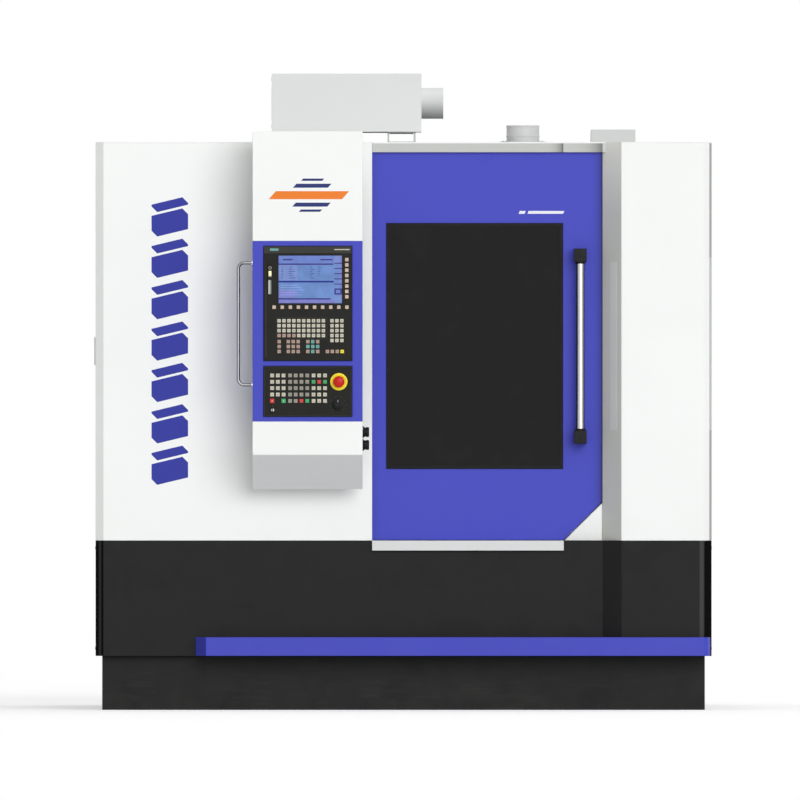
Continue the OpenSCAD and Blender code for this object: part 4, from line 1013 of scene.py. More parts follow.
class GEAR_OT_door(bpy.types.Operator):
    """Fits the door's lip seals, its window beads and the handle's screws"""
    bl_idname = "gear.door"
    bl_label = "Front door"

    def execute(self, context):
        face, glass, mount = cad("door_panel")[0].y, cad("door_gasket"), cad("door_handle_mounts")
        x0, x1, z0, z1 = glass[0].x, glass[1].x, glass[0].z, glass[1].z
        lip, bead, screw_line, spacing = 0.5, 26, 15, 150
        form = Form("door_fittings").on("front", face)
        form.rim(wider((x0, x1), lip), wider((z0, z1), lip), (0, 2.4), 9, "Seal rubber", edge=1.0)
        form.on("rear", face + 30)
        form.rim(wider((-x1, -x0), bead), wider((z0, z1), bead), (0, 3), 22, "Blue coat", edge=1.2)
        form.screws(grid(wider((-x1, -x0), screw_line), spaced(*wider((z0, z1), screw_line), spacing)),
                    height=4.5, d=9)
        form.done("front_door", "rubber")

        form = Form("handle_fittings")
        x, tall = middle("door_handle_mounts").x, 46
        for z, up in ((mount[0].z, 1), (mount[1].z, -1)):
            form.on("front", mount[0].y, x, z + up * tall / 2)
            form.slab((0, 0), 36, 38, (0, 1.2), "Black plastic", edge=1.0)
            form.disc(6, (1, 2.2), "Black plastic", steps=20, cut=(1.4, 0.6))
            form.on("top", z + up * tall, x, mount[0].y + 22)
            form.turned([(15.1, 0), (18, 0), (18, 5 * up), (16.6, 7 * up), (15.1, 7 * up)],
                        "Black plastic", steps=36, closed=True)
        form.done("front_door", "black_plastic")
        return {"FINISHED"}


# ---- Operator console ----

def key_places(node):
    """Middle, width and height range of every cap in a frame part made of many keys."""
    joined = bmesh.new()
    joined.from_mesh(frame["nodes"][node].data)
    bmesh.ops.remove_doubles(joined, verts=joined.verts, dist=0.00001)
    left, found = set(joined.verts), []
    for first in joined.verts:
        if first not in left:
            continue
        left.remove(first)
        group, queue = [], [first]
        while queue:
            vert = queue.pop()
            group.append(vert.co * 1000)
            for edge in vert.link_edges:
                other = edge.other_vert(vert)
                if other in left:
                    left.remove(other)
                    queue.append(other)
        low = [min(c[i] for c in group) for i in range(3)]
        high = [max(c[i] for c in group) for i in range(3)]
        found.append(((low[0] + high[0]) / 2, (low[2] + high[2]) / 2, high[0] - low[0], high[1] - low[1]))
    joined.free()
    return found


def cap(form, at, width, height, finish):
    """A key cap with rounded edges, on a dark collar."""
    form.slab(at, width, width, (0, height * 0.3), "Black plastic", edge=0.4)
    form.slab(at, width - 2, width - 2, (height * 0.2, height), finish, edge=sizes().key_edge * 1000, steps=3)


def mark(form, at, top, kind, finish="Key print"):
    """A plain sign on a key: a bar, an arrow or two dots."""
    u, v = at
    w = (top - 0.02, top + 0.05)
    if kind == 0:
        form.slab(at, 5.2, 1.2, w, finish)
    elif kind == 1:
        form.prism([(u - 2.4, v - 1.8), (u + 2.4, v - 1.8), (u, v + 2.4)], w, finish)
    elif kind == 2:
        form.slab(at, 1.2, 5.2, w, finish)
    elif kind == 3:
        form.prism([(u - 1.8, v + 2.4), (u - 1.8, v - 2.4), (u + 2.4, v)], w, finish)
    else:
        for side in (-1.6, 1.6):
            form.slab((u + side, v), 1.6, 1.6, w, finish)


def key_sign(i):
    """Which of the five signs a key carries, so that neighbours differ."""
    return (2 * i + i // 5) % 5


def operator_key_finish(u, v):
    """Which plastic a cap is made of, by its place from the panel's lower left corner."""
    if v > 180:
        return "Warm key"
    if v > 100:
        return "Ivory key"
    if v > 80:
        return "Brown key" if u < 110 else "Ivory key"
    if u > 230:
        return "Yellow plastic" if u > 268 and v < 40 else ("Brown key" if v < 40 else "Ivory key")
    if 145 < u < 200:
        return "Teal key" if 160 < u < 180 or 42 < v < 58 else "Brown key"
    return "Brown key"


class GEAR_OT_operator_panel(bpy.types.Operator):
    """Shapes the operator panel: header, screen picture, key caps and card slot"""
    bl_idname = "gear.operator_panel"
    bl_label = "Operator panel"

    def execute(self, context):
        panel, screen, card = cad("operator_panel"), cad("operator_screen"), cad("card_door")
        face = panel[0].y
        x0, z0, x1, z1 = panel[0].x, panel[0].z, panel[1].x, panel[1].z
        form = Form("panel_fittings").on("front", face)
        form.block((x0 + 1, x1 - 1), (z1 - 25, z1 - 1), (0, 0.9), "Panel header", edge=0.6)
        form.block((x0 + 22, x0 + 52), (z1 - 16, z1 - 8), (0.8, 1.1), "Teal key", edge=0.3)
        form.block((x1 - 62, x1 - 8), (z1 - 13.5, z1 - 10), (0.8, 1.1), "Ivory key", edge=0.2)
        form.block((x0 + 6.5, x0 + 9), (z0 + 12, z1 - 150), (0, 0.7), "Panel header", edge=0.3)
        bezel = 7
        form.rim(wider((screen[0].x, screen[1].x), bezel), wider((screen[0].z, screen[1].z), bezel),
                 (0, 1.2), 6.4, "Panel face", edge=0.8)
        form.rim((x0 + 44, x0 + 222), (z0 + 76, z0 + 152), (0, 0.35), 1.2, "Panel header", edge=0.2)
        rows = (z0 + 6, (z0 + z1) / 2, z1 - 30)
        form.screws(grid((x0 + 5, x1 - 5), rows), "Black plastic", height=0.9, d=5)
        form.done("console", "black_plastic")

        self.draw_screen(screen)

        keys = Form("operator_key_caps").on("front", face)
        for i, (x, z, width, height) in enumerate(key_places("operator_keys")):
            cap(keys, (x, z), width, height, operator_key_finish(x - x0, z - z0))
            if z - z0 < 180:
                mark(keys, (x, z), height, key_sign(i))
        keys.done("console", "key_plastic", "operator_keys")

        low, high = card[0].z, card[1].z
        flap = Form("card_door_fittings").on("front", card[0].y, middle("card_door").x + 0.5)
        latch = (0.6, high - 14)
        flap.disc(3.4, (0, 0.3), "Recess painted shade", latch, steps=20, cut=(0.6, 0.1))
        flap.turned([(3.5, 0), (5.7, 0), (5.5, 0.2), (3.5, 0.2)], "Dull key", latch, closed=True)
        flap.block((-4.9, 6.1), (high - 46, high - 24.5), (0, 0.2), "Dull key", edge=0.1)
        flap.block((-3.7, 4.9), (high - 41.5, high - 25.5), (0.1, 0.4), "Lamp lens and painted glow", edge=0.15)
        flap.block((-5.3, 2.1), (low + 6, low + 55), (0, 0.3), "Pale grey, also painted shade", edge=0.15)
        flap.block((3.0, 6.0), (low + 7, low + 54), (0, 0.2), "Panel line", edge=0.1)
        flap.done("card_flap", "black_plastic")
        return {"FINISHED"}

    def draw_screen(self, screen):
        """A plain picture of fields and bars, laid out in shares of the screen."""
        wide, tall = screen[1].x - screen[0].x, screen[1].z - screen[0].z
        picture = Form("screen_picture").on("front", screen[0].y, screen[0].x, screen[1].z)
        column = (0.88, 1.0)
        fields = [((0, 1.0), (0.0, 0.16), 0.05, "steel"), ((0, 0.86), (0.165, 0.195), 0.2, "purple"),
                  ((0, 0.3), (0.2, 0.52), 0.1, "violet"), ((0, 0.87), (0.53, 0.565), 0.2, "navy"),
                  ((0, 0.26), (0.72, 0.88), 0.1, "lilac"), ((0, 0.82), (0.895, 0.925), 0.2, "purple"),
                  ((0, 0.9), (0.93, 1.0), 0.1, "lilac"), (column, (0.0, 0.15), 0.1, "violet"),
                  (column, (0.69, 0.82), 0.2, "purple"), ((0.905, 0.975), (0.72, 0.79), 0.3, "steel"),
                  (column, (0.86, 1.0), 0.15, "violet"), ((0.66, 0.85), (0.07, 0.1), 0.2, "purple"),
                  ((0.07, 0.22), (0.07, 0.1), 0.2, "purple"), ((0.96, 1.0), (0.0, 1.0), 0.12, "lilac")]
        fields += [(column, (low, low + 0.02), 0.2, "purple") for low in (0.15, 0.26, 0.37, 0.48, 0.59)]
        for across, down, height, tone in fields:
            picture.block([a * wide for a in across], [-a * tall for a in reversed(down)], (0, height),
                          "Screen " + tone)
        for row in range(6):
            v = -(0.235 + row * 0.046) * tall
            for a, b in ((0.04, 0.07), (0.16, 0.22 + 0.02 * (row % 3)), (0.5, 0.53 + 0.03 * (row % 2)),
                         (0.62, 0.68 - 0.012 * row)):
                picture.block((a * wide, b * wide), (v - 1.6, v), (0, 0.25), "Screen navy")
        for row in range(5):
            v = -(0.62 + row * 0.05) * tall
            picture.block((0.03 * wide, (0.3 + 0.05 * (row % 3)) * wide), (v - 1.2, v), (0, 0.25),
                          "Screen light")
        picture.done("console", "screen_glass")


class GEAR_OT_control_panel(bpy.types.Operator):
    """Shapes the control panel: key caps, stop button, override knob and key switch"""
    bl_idname = "gear.control_panel"
    bl_label = "Control panel"

    def execute(self, context):
        panel = cad("control_panel")
        face = panel[0].y
        self.shape_keys(face)
        self.shape_buttons()
        dial, lock = middle("override_knob").xz, middle("key_switch").xz
        self.shape_dial(dial)

        barrel = cad("key_switch")[1].y
        key = Form("switch_key").on("front", face, *lock)
        key.turned([(9, 0.4), (9, 1.8), (8, 3), (5.6, 3), (5.6, 1.2)], "Black plastic", steps=36,
                   closed=True)
        key.turned([(5.6, 1.2), (5.6, 2.2), (0, 2.2), (0, 1.2)], "Zinc plate", steps=36)
        key.turned([(6, face - barrel), (6, 0.4)], "Zinc plate", steps=24)
        key.slab((0, 0), 2.2, 5.2, (2.2, 7), "Zinc plate", edge=0.3)
        key.slab((0, 0), 2.3, 15.2, (6.6, 15.6), "Black plastic", edge=1.0)
        key.done("mode_lock", "steel", "key_switch")

        form = Form("control_panel_fittings").on("front", face)
        x0, x1, z0, z1 = panel[0].x, panel[1].x, panel[0].z, panel[1].z
        form.rim((x0 + 2, x1 - 2), (z0 + 2, z1 - 2), (0, 0.5), 1.4, "Panel header", edge=0.2)
        form.screws(grid((x0 + 7, x1 - 7), (z0 + 7, z1 - 7)), "Black plastic", height=1.2, d=6)
        for k in range(15):
            form.on("front", face, *dial, 230 - 20 * k)
            form.block((24, 26.4 if k % 2 else 28), (-0.45, 0.45), (0, 0.25), "Panel line")
        for turn in (0, 90):
            form.on("front", face, *lock, turn)
            form.block((11.5, 15.5), (-0.5, 0.5), (0, 0.25), "Panel line")
        form.done("console", "black_plastic")
        return {"FINISHED"}

    def shape_keys(self, face):
        keys = Form("control_key_caps").on("front", face)
        found = key_places("control_keys")
        widest_cap = 30
        caps = [key for key in found if key[2] < widest_cap]
        columns, rows = (sorted({round(key[i]) for key in caps}) for i in (0, 1))
        special = {(7, 3): "Green key", (8, 3): "Red key", (9, 3): "Green key",
                   (5, 0): "Red key", (6, 0): "Green key"}
        for i, (x, z, width, height) in enumerate(found):
            if width > widest_cap:
                r = width / 2 - 1.4
                keys.turned([(9, 0), (r, 0), (r, height * 0.7), (r - 1.4, height), (r - 7, height),
                             (r - 9.5, height * 0.5), (9, height * 0.5)],
                            "Yellow plastic", (x, z), steps=56, closed=True)
                continue
            column, row = columns.index(round(x)), rows.index(round(z))
            finish = special.get((column, row)) or ("Dull key" if 3 <= column <= 6 else "Ivory key")
            cap(keys, (x, z), width, height, finish)
            mark(keys, (x, z - 1), height, key_sign(i))
            if finish == "Ivory key" and row > 1:
                keys.slab((x, z + 4.2), 3.2, 1.2, (height - 0.05, height + 0.08), "Green key")
        keys.done("console", "key_plastic", "control_keys")

    def shape_buttons(self):
        for node, finish, kind, body, slot in (
                ("stop_key", "Red key", 0, "halt_button", "red_plastic"),
                ("start_key", "Green key", 2, "start_button", "green_plastic")):
            button = Form(node + "_cap").on("front", cad(node)[0].y + 2, *middle(node).xz)
            button.slab((0, 0), 15, 15, (0, 1.9), finish, edge=0.9, steps=3)
            button.slab((0, 0), 8, 8, (-14, 0.2), "Black plastic", edge=0.3)
            mark(button, (0, 0), 1.9, kind, "White mark")
            button.done(body, slot, node)

        low, high = cad("estop_button")
        r, foot = (high.x - low.x) / 2 - 0.8, low.y - high.y
        knob = Form("stop_mushroom").on("front", low.y, *middle("estop_button").xz)
        knob.turned([(0, foot), (8, foot), (8, -22), (r * 0.74, -22), (r * 0.76, -17), (r * 0.9, -15.6),
                     (r * 0.97, -13), (r, -9), (r * 0.96, -5), (r * 0.8, -2.2), (r * 0.5, -0.6), (0, 0)],
                    "Red plastic", steps=56)
        for k in range(3):
            turns = [2 * pi * k / 3 + 0.5 + 0.3 * step for step in range(4)]
            arc = [(11.4 * cos(a), 11.4 * sin(a)) for a in turns]
            arc += [(9.6 * cos(a), 9.6 * sin(a)) for a in reversed(turns)]
            knob.prism(arc, (-1.9, -1.0), "White mark")
        knob.ribs(r - 0.9, 24, 1.1, (-14, -8), "Red plastic")
        knob.done("stop_button", "red_plastic", "estop_button")

    def shape_dial(self, at):
        low, high = cad("override_knob")
        r, foot = (high.x - low.x) / 2, low.y - high.y
        knob = Form("override_dial").on("front", low.y, *at)
        knob.turned([(0, foot), (3, foot), (3, -19.6), (r, -19.6), (r, -16.4), (r - 1, -15), (16, -14.6),
                     (15.6, -2), (14.5, -0.4), (10.5, 0), (9, -1.4), (0, -1.4)],
                    "Black plastic", steps=48)
        knob.ribs(15.4, 20, 1.0, (-14.5, -2.4), "Black plastic")
        knob.slab((0, 10.5), 1.4, 7, (-0.9, -0.05), "White mark", edge=0.2)
        knob.done("override", "black_plastic", "override_knob")


class GEAR_OT_console(bpy.types.Operator):
    """Fits the console's joints, screws, rear louvres, caps and handle roses"""
    bl_idname = "gear.console"
    bl_label = "Console"

    def execute(self, context):
        top, bottom = cad("console_top_cover"), cad("console_bottom_cover")
        x0, x1, front, rear = top[0].x, top[1].x, top[0].y, top[1].y
        form = Form("console_fittings")
        for side, x, way in (("left", x0, -1), ("right", x1, 1)):
            form.on(side, x)
            for z in (top[0].z, bottom[1].z):
                form.block(sorted((way * (front + 5), way * (rear - 5))), wider((z, z), 1.2), (0, 0.25),
                           "Seam")
            rows = (top[0].z + 30, top[1].z - 30, bottom[1].z - 25)
            form.screws(grid((way * (front + 30), way * (rear - 20)), rows), "White cover", height=1.0, d=8)
        form.on("rear", rear)
        vent = (-x1 + 60, -x0 - 60)
        form.louvres(vent, (top[0].z + 60, top[0].z + 220), 6, "White cover", rows=7)
        form.louvres(vent, (bottom[1].z - 110, bottom[1].z - 20), 6, "White cover", rows=4)
        form.screws(grid((-x1 + 20, -x0 - 20), (top[0].z + 20, top[1].z - 20)), height=2.6, d=9)
        form.on("top", top[1].z)
        form.screws(grid((x0 + 18, x1 - 18), (front + 60, rear - 18)), "White cover", height=1.2, d=9)
        form.done("console", "white_paint")

        grab = cad("grab_handle")
        form = Form("handle_roses").on("left", x0, -middle("grab_handle").y)
        for z in (grab[0].z + 6, grab[1].z - 6):
            form.ring(6.1, 13, (0, 4.4), "Polished steel", (0, z), steps=32, cut=(2, 1.4))
        form.done("console", "steel")

        caps = cad("connector_caps")
        form = Form("connector_fittings").on("right", x1, middle("connector_caps").y)
        for z in (caps[0].z + 17.5, caps[1].z - 17.5):
            form.turned([(0, 0), (21, 0), (21, 3), (17, 4.6), (17, 8), (15.5, 8.6), (15.5, 11),
                         (17.2, 11.6), (17.2, 20.4), (15.4, 23), (12, 23), (11, 21.4), (0, 21.4)],
                        "Black plastic", (0, z), steps=40)
            form.ribs(16.6, 18, 0.9, (12, 20), "Black plastic", (0, z), steps=6)
        form.done("console", "black_plastic", "connector_caps")

        bracket = cad("console_bracket")
        form = Form("bracket_fittings").on("front", bracket[1].y - 8, middle("console_bracket").x)
        form.screws(grid((-26, 26), spaced(bracket[0].z + 15, bracket[1].z - 15, 170)), height=7, d=12)
        form.done("enclosure", "black_paint")
        return {"FINISHED"}


# ---- Work area ----

class GEAR_OT_hob(bpy.types.Operator):
    """Cuts the hob's rows of teeth, each a little further along than the last"""
    bl_idname = "gear.hob"
    bl_label = "Hob"

    def execute(self, context):
        low, high = cad("hob")
        length = high.y - low.y
        tip, root, floor = 53.2, 45.5, 38.0
        hub, hub_r, bore = 9, 32, 20.2
        pitch, rows = 12.5, sizes().hob_rows
        step = 2 * pi / rows
        place = ("front", high.y, *middle("hob").xz)
        form = Form("hob_teeth").on(*place)
        outline = [(r * cos((i + part) * step), r * sin((i + part) * step)) for i in range(rows)
                   for r, part in ((root, 0), (root, 0.3), (root, 0.6), (floor, 0.68), (floor, 0.92))]
        form.prism(outline, (hub - 1, length - hub + 1), "Hob coating")
        for a, b in ((0, hub), (length - hub, length)):
            form.turned([(bore, a), (hub_r - 1, a), (hub_r, a + 1), (hub_r, b - 1), (hub_r - 1, b),
                         (bore, b)], "Hob coating", steps=40, closed=True)
            form.block((-hub_r - 0.2, -28), (-5, 5), (a + 0.5, b - 0.5), "Recess painted shade")
        axis = form.place.copy()
        along = Matrix(((0, 1, 0), (0, 0, 1), (1, 0, 0))).to_4x4()
        for i in range(rows):
            form.place = axis @ Matrix.Rotation(i * step, 4, "Z") @ along
            first = hub + 2 + pitch * i / rows
            for k in range(int((length - hub - 11 - first) / pitch) + 1):
                w = first + k * pitch
                form.prism([(w, root - 2), (w + 8.8, root - 2), (w + 5.8, tip), (w + 3, tip)], (0, 13.3),
                           "Hob coating")
        form.done("hob_spindle", "hob_coating", "hob")

        nuts = Form("arbor_rings").on(*place)
        for w in (-7.5, length + 0.5):
            nuts.turned([(20.1, w), (27, w), (28, w + 1), (28, w + 6), (27, w + 7), (20.1, w + 7)],
                        "Ground steel", steps=40, closed=True)
        nuts.done("hob_spindle", "steel")
        return {"FINISHED"}


class GEAR_OT_column(bpy.types.Operator):
    """Fits ground ways, covers, a scale, screws and conduits to the column, slides and head"""
    bl_idname = "gear.column"
    bl_label = "Column and slides"

    def execute(self, context):
        column, slide, head, shift, arbor = (cad(n) for n in ("radial_column", "axial_slide", "swivel_head",
                                                              "shift_slide", "hob_arbor"))
        form = Form("column_ways").on("right", column[1].x)
        for way in ((column[0].y + 8, slide[0].y - 6), (slide[1].y + 6, column[1].y - 8)):
            form.block(way, (column[0].z + 150, column[1].z - 20), (0, 3), "Ground steel", edge=0.8)
            for z in spaced(column[0].z + 190, column[1].z - 60, 120):
                form.disc(6, (3, 3.1), "Recess painted shade", (sum(way) / 2, z), steps=16)
        x = middle("radial_column").x
        form.on("front", column[0].y, x)
        form.cover((-110, 130), (900, 1600), 5, "Casting paint", edge=2.5, inset=(14, 16), height=8, rows=3)
        form.on("top", column[1].z, x)
        form.cover((-100, 100), (-250, -50), 8, "Casting paint", edge=3, inset=(16, 16), height=11)
        form.done("column", "cast_iron")

        form = Form("slide_fittings")
        x = middle("axial_slide").x
        for side, y, u in (("front", slide[0].y, x), ("rear", slide[1].y, -x)):
            form.on(side, y, u)
            form.screws(grid((0,), spaced(slide[0].z + 30, slide[1].z - 30, 120)), "Black plastic",
                        height=5, d=12)
        y, z = middle("swivel_head").yz
        r = (head[1].y - head[0].y) / 2
        for k in range(-6, 7):
            form.on("right", slide[1].x, y, z, 90 + 5 * k)
            form.block((r + 1, r + (6 if k % 2 else 10)), (-0.6, 0.6), (0, 0.3), "White mark")
        form.done("saddle", "cast_iron")

        form = Form("head_fittings").on("right", head[1].x, y, z)
        for turn in (55, 70, 110, 125, 235, 250, 290, 305):
            form.screws(around(r - 16, 1, radians(turn)), "Black plastic", height=7, d=16)
        form.done("head", "cast_iron")

        form = Form("shift_fittings")
        x, z = middle("hob_arbor").xz
        for side, y, u in (("front", arbor[0].y, x), ("rear", arbor[1].y, -x)):
            form.on(side, y, u, z)
            form.ring(30, 56, (0, 9), "Ground steel", cut=(4, 3))
            form.screws(around(45, 6, pi / 6), "Black plastic", height=12, d=9)
        form.on("top", shift[1].z, shift[0].x + 37)
        form.slab((0, -150), 50, 90, (0, 22), "Zinc plate", edge=2)
        form.screws(grid((0,), (-185, -115)), "Black plastic", height=27, d=9)
        for y in (-172, -128):
            form.pipe([(u, y, h) for u, h in ((0, 18), (3, 40), (15, 56), (39, 64), (63, 56), (77, 38))],
                      15, "Livery orange")
            form.pipe([(76, y, 40), (83, y, 26), (88, y, 12)], 9, "Livery orange")
        form.done("shift", "cast_iron")
        return {"FINISHED"}


class GEAR_OT_work_side(bpy.types.Operator):
    """Fits the table's slots and rings, the work clamp, the counter column and the lamp"""
    bl_idname = "gear.work_side"
    bl_label = "Work side"

    def execute(self, context):
        table, fixture, arm, column = (cad(n) for n in ("rotary_table", "work_fixture", "tailstock_arm",
                                                        "tailstock_column"))
        axis, r = middle("rotary_table").xy, (table[1].x - table[0].x) / 2
        slot_start, half_slot, lip = 82, 7, 3
        form = Form("table_slots")
        for k in range(6):
            form.on("top", table[1].z, *axis, 60 * k + 30)
            form.block((slot_start, r - 2), (-half_slot, half_slot), (0, 0.4), "Recess painted shade")
            for v in ((-half_slot - lip, -half_slot), (half_slot, half_slot + lip)):
                form.block((slot_start, r - 3), v, (0, 1.4), "Ground steel", edge=0.5)
        form.on("top", table[1].z, *axis)
        for radius in (96, 118, 138):
            form.turned([(radius, 0), (radius + 0.8, 0.3), (radius + 1.6, 0)], "Zinc plate", steps=72,
                        closed=True)
        form.screws(around(110, 6), "Black plastic", height=2, d=14)
        form.done("work_table", "steel")

        form = Form("work_clamp").on("top", fixture[0].z, *axis)
        form.screws(around(64, 6, pi / 6), "Black plastic", height=29, d=13)
        for h in (34, 60):
            form.turned([(55.1, h), (56.4, h + 2), (56.4, h + 10), (55.1, h + 12)], "Zinc plate", steps=56,
                        closed=True)
        form.ring(22.7, 44, (91, 99), "Ground steel", cut=(2, 2))
        form.prism(around(34, 6), (100, 122), "Zinc plate", edge=1.5)
        for h in spaced(126, 160, 5):
            form.turned([(22.4, h - 1.2), (23.6, h), (22.4, h + 1.2)], "Ground steel", steps=36, closed=True)
        form.done("work_table", "steel")

        form = Form("counter_column_fittings").on("front", column[0].y + 30)
        form.screws(grid((column[0].x + 7.5, column[1].x - 7.5),
                         spaced(column[0].z + 60, column[1].z - 30, 150)), "Black plastic", height=6, d=9)
        form.on("left", column[0].x)
        form.cover((-430, -210), (900, 1700), 5, "Casting paint", edge=2.5, inset=(14, 16), height=8, rows=3)
        form.on("top", column[1].z)
        form.block((column[0].x + 60, column[1].x - 60), (220, 420), (0, 10), "Casting paint", edge=3)
        form.done("enclosure", "cast_iron")

        form = Form("arm_fittings").on("top", arm[1].z - 60, *axis)
        form.ring(36, 74, (0, 14), "Ground steel", cut=(4, 4))
        form.screws(around(58, 6), "Black plastic", height=20, d=12)
        form.done("tailstock", "cast_iron")

        form = Form("work_lamp").on("top", cad("roof_panel")[1].z - 4, 250, -700)
        form.slab((0, 0), 540, 70, (-58, -12), "Zinc plate", edge=6)
        form.slab((0, 0), 508, 56, (-62, -57), "Work light", edge=2)
        for u in (-220, 220):
            form.slab((u, 0), 30, 30, (-13, 0), "Black plastic", edge=2)
        form.done("enclosure", "gray_paint")
        return {"FINISHED"}


# ---- Rear ----

def gland(form, at, d=28):
    """A cable gland: a hexagon body with a blind plug."""
    form.prism(around(d * 0.6, 6, at=at), (3, 11), "Black plastic", edge=1)
    form.disc(d * 0.46, (11, 27), "Black plastic", at, steps=20, cut=(d * 0.08, 3))


def eye_bolt(form, at, ring=20, d=11):
    """A lifting eye that stands on a collar."""
    form.disc(ring * 0.8, (0, 9), "Zinc plate", at, steps=28, cut=(ring * 0.3, 4))
    turns = [2 * pi * k / 24 for k in range(25)]
    form.pipe([(at[0] + ring * sin(a), at[1], 8 + ring - ring * cos(a)) for a in turns],
              d, "Zinc plate", steps=12)


def bail(form, ends, d, finish, lift, bend=8):
    """A bail handle that stands between two places."""
    a, b = (Vector((*end, 0)) for end in ends)
    inward = (b - a).normalized() * bend
    foot, knee, grip = (Vector((0, 0, h)) for h in (4, lift - 8, lift))
    form.pipe([a + foot, a + knee, a + inward + grip, b - inward + grip, b + knee, b + foot], d, finish)


def wire_duct(form, left, right, v, wide=44, deep=56):
    """Slotted trunking with its lid, across the mounting plate."""
    form.block((left + 1, right - 1), (v, v + wide), (0, deep - 4), "Grey coat", edge=0.8)
    form.block((left, right), (v - 2, v + wide + 2), (deep - 7, deep), "Grey coat", edge=1.5)
    for u, low in grid(spaced(left + 8, right - 14, 14), (v - 0.4, v + wide - 0.1)):
        form.block((u, u + 5), (low, low + 0.5), (8, deep - 10), "Recess painted shade")


def drive_unit(form, u, v, wide, tall, deep=150):
    """A servo drive: slotted body, dark front with its display, lamps and terminals."""
    top, front = v + tall, deep + 16
    form.block((u, u + wide), (v, top), (0, deep), "Zinc plate", edge=2)
    form.block((u + 1, u + wide - 1), (v + 22, top - 22), (deep - 1, front), "Black plastic", edge=3)
    form.block((u + 18, u + wide - 18), (top - 96, top - 62), (front - 1, front + 0.6), "Screen glass",
               edge=0.6)
    for k, finish in enumerate(("Green key", "Ivory key", "Ivory key")):
        form.block((u + 22 + 20 * k, u + 32 + 20 * k), (top - 118, top - 110), (front - 1, front + 1),
                   finish, edge=0.6)
    for low in (v + 60, v + 118):
        form.block((u + 20, u + wide - 20), (low, low + 36), (front - 1, front + 6), "Dull key", edge=1.2)
        for q in spaced(u + 28, u + wide - 28, 11):
            form.disc(3, (front + 5, front + 6.3), "Recess painted shade", (q, low + 18), steps=12)
    for q, low in grid(spaced(u + 8, u + wide - 14, 9), (v + 4, top - 16)):
        form.block((q, q + 4), (low, low + 12), (deep - 0.4, deep + 0.4), "Recess painted shade")


def breaker_row(form, left, right, v, wide, tall, deep, finish):
    """A rail full of breakers or relays, each with a label field, a lever and screws."""
    form.block((left, right), (v + tall / 2 - 17, v + tall / 2 + 18), (0, 8), "Zinc plate", edge=0.6)
    for u in spaced(left + 12, right - wide - 30, wide + 1.5):
        form.block((u, u + wide), (v, v + tall), (6, deep), finish, edge=1.6)
        form.block((u + 6, u + wide - 6), (v + tall * 0.3, v + tall * 0.7), (deep - 1, deep + 8),
                   "Panel header", edge=1.2)
        form.block((u + wide / 2 - 5, u + wide / 2 + 5), (v + tall * 0.45, v + tall * 0.6),
                   (deep + 7, deep + 15), "Black plastic", edge=1.0)
        form.screws(grid((u + wide * 0.28, u + wide * 0.72), (v + 9, v + tall - 9)), height=deep + 1, d=7)


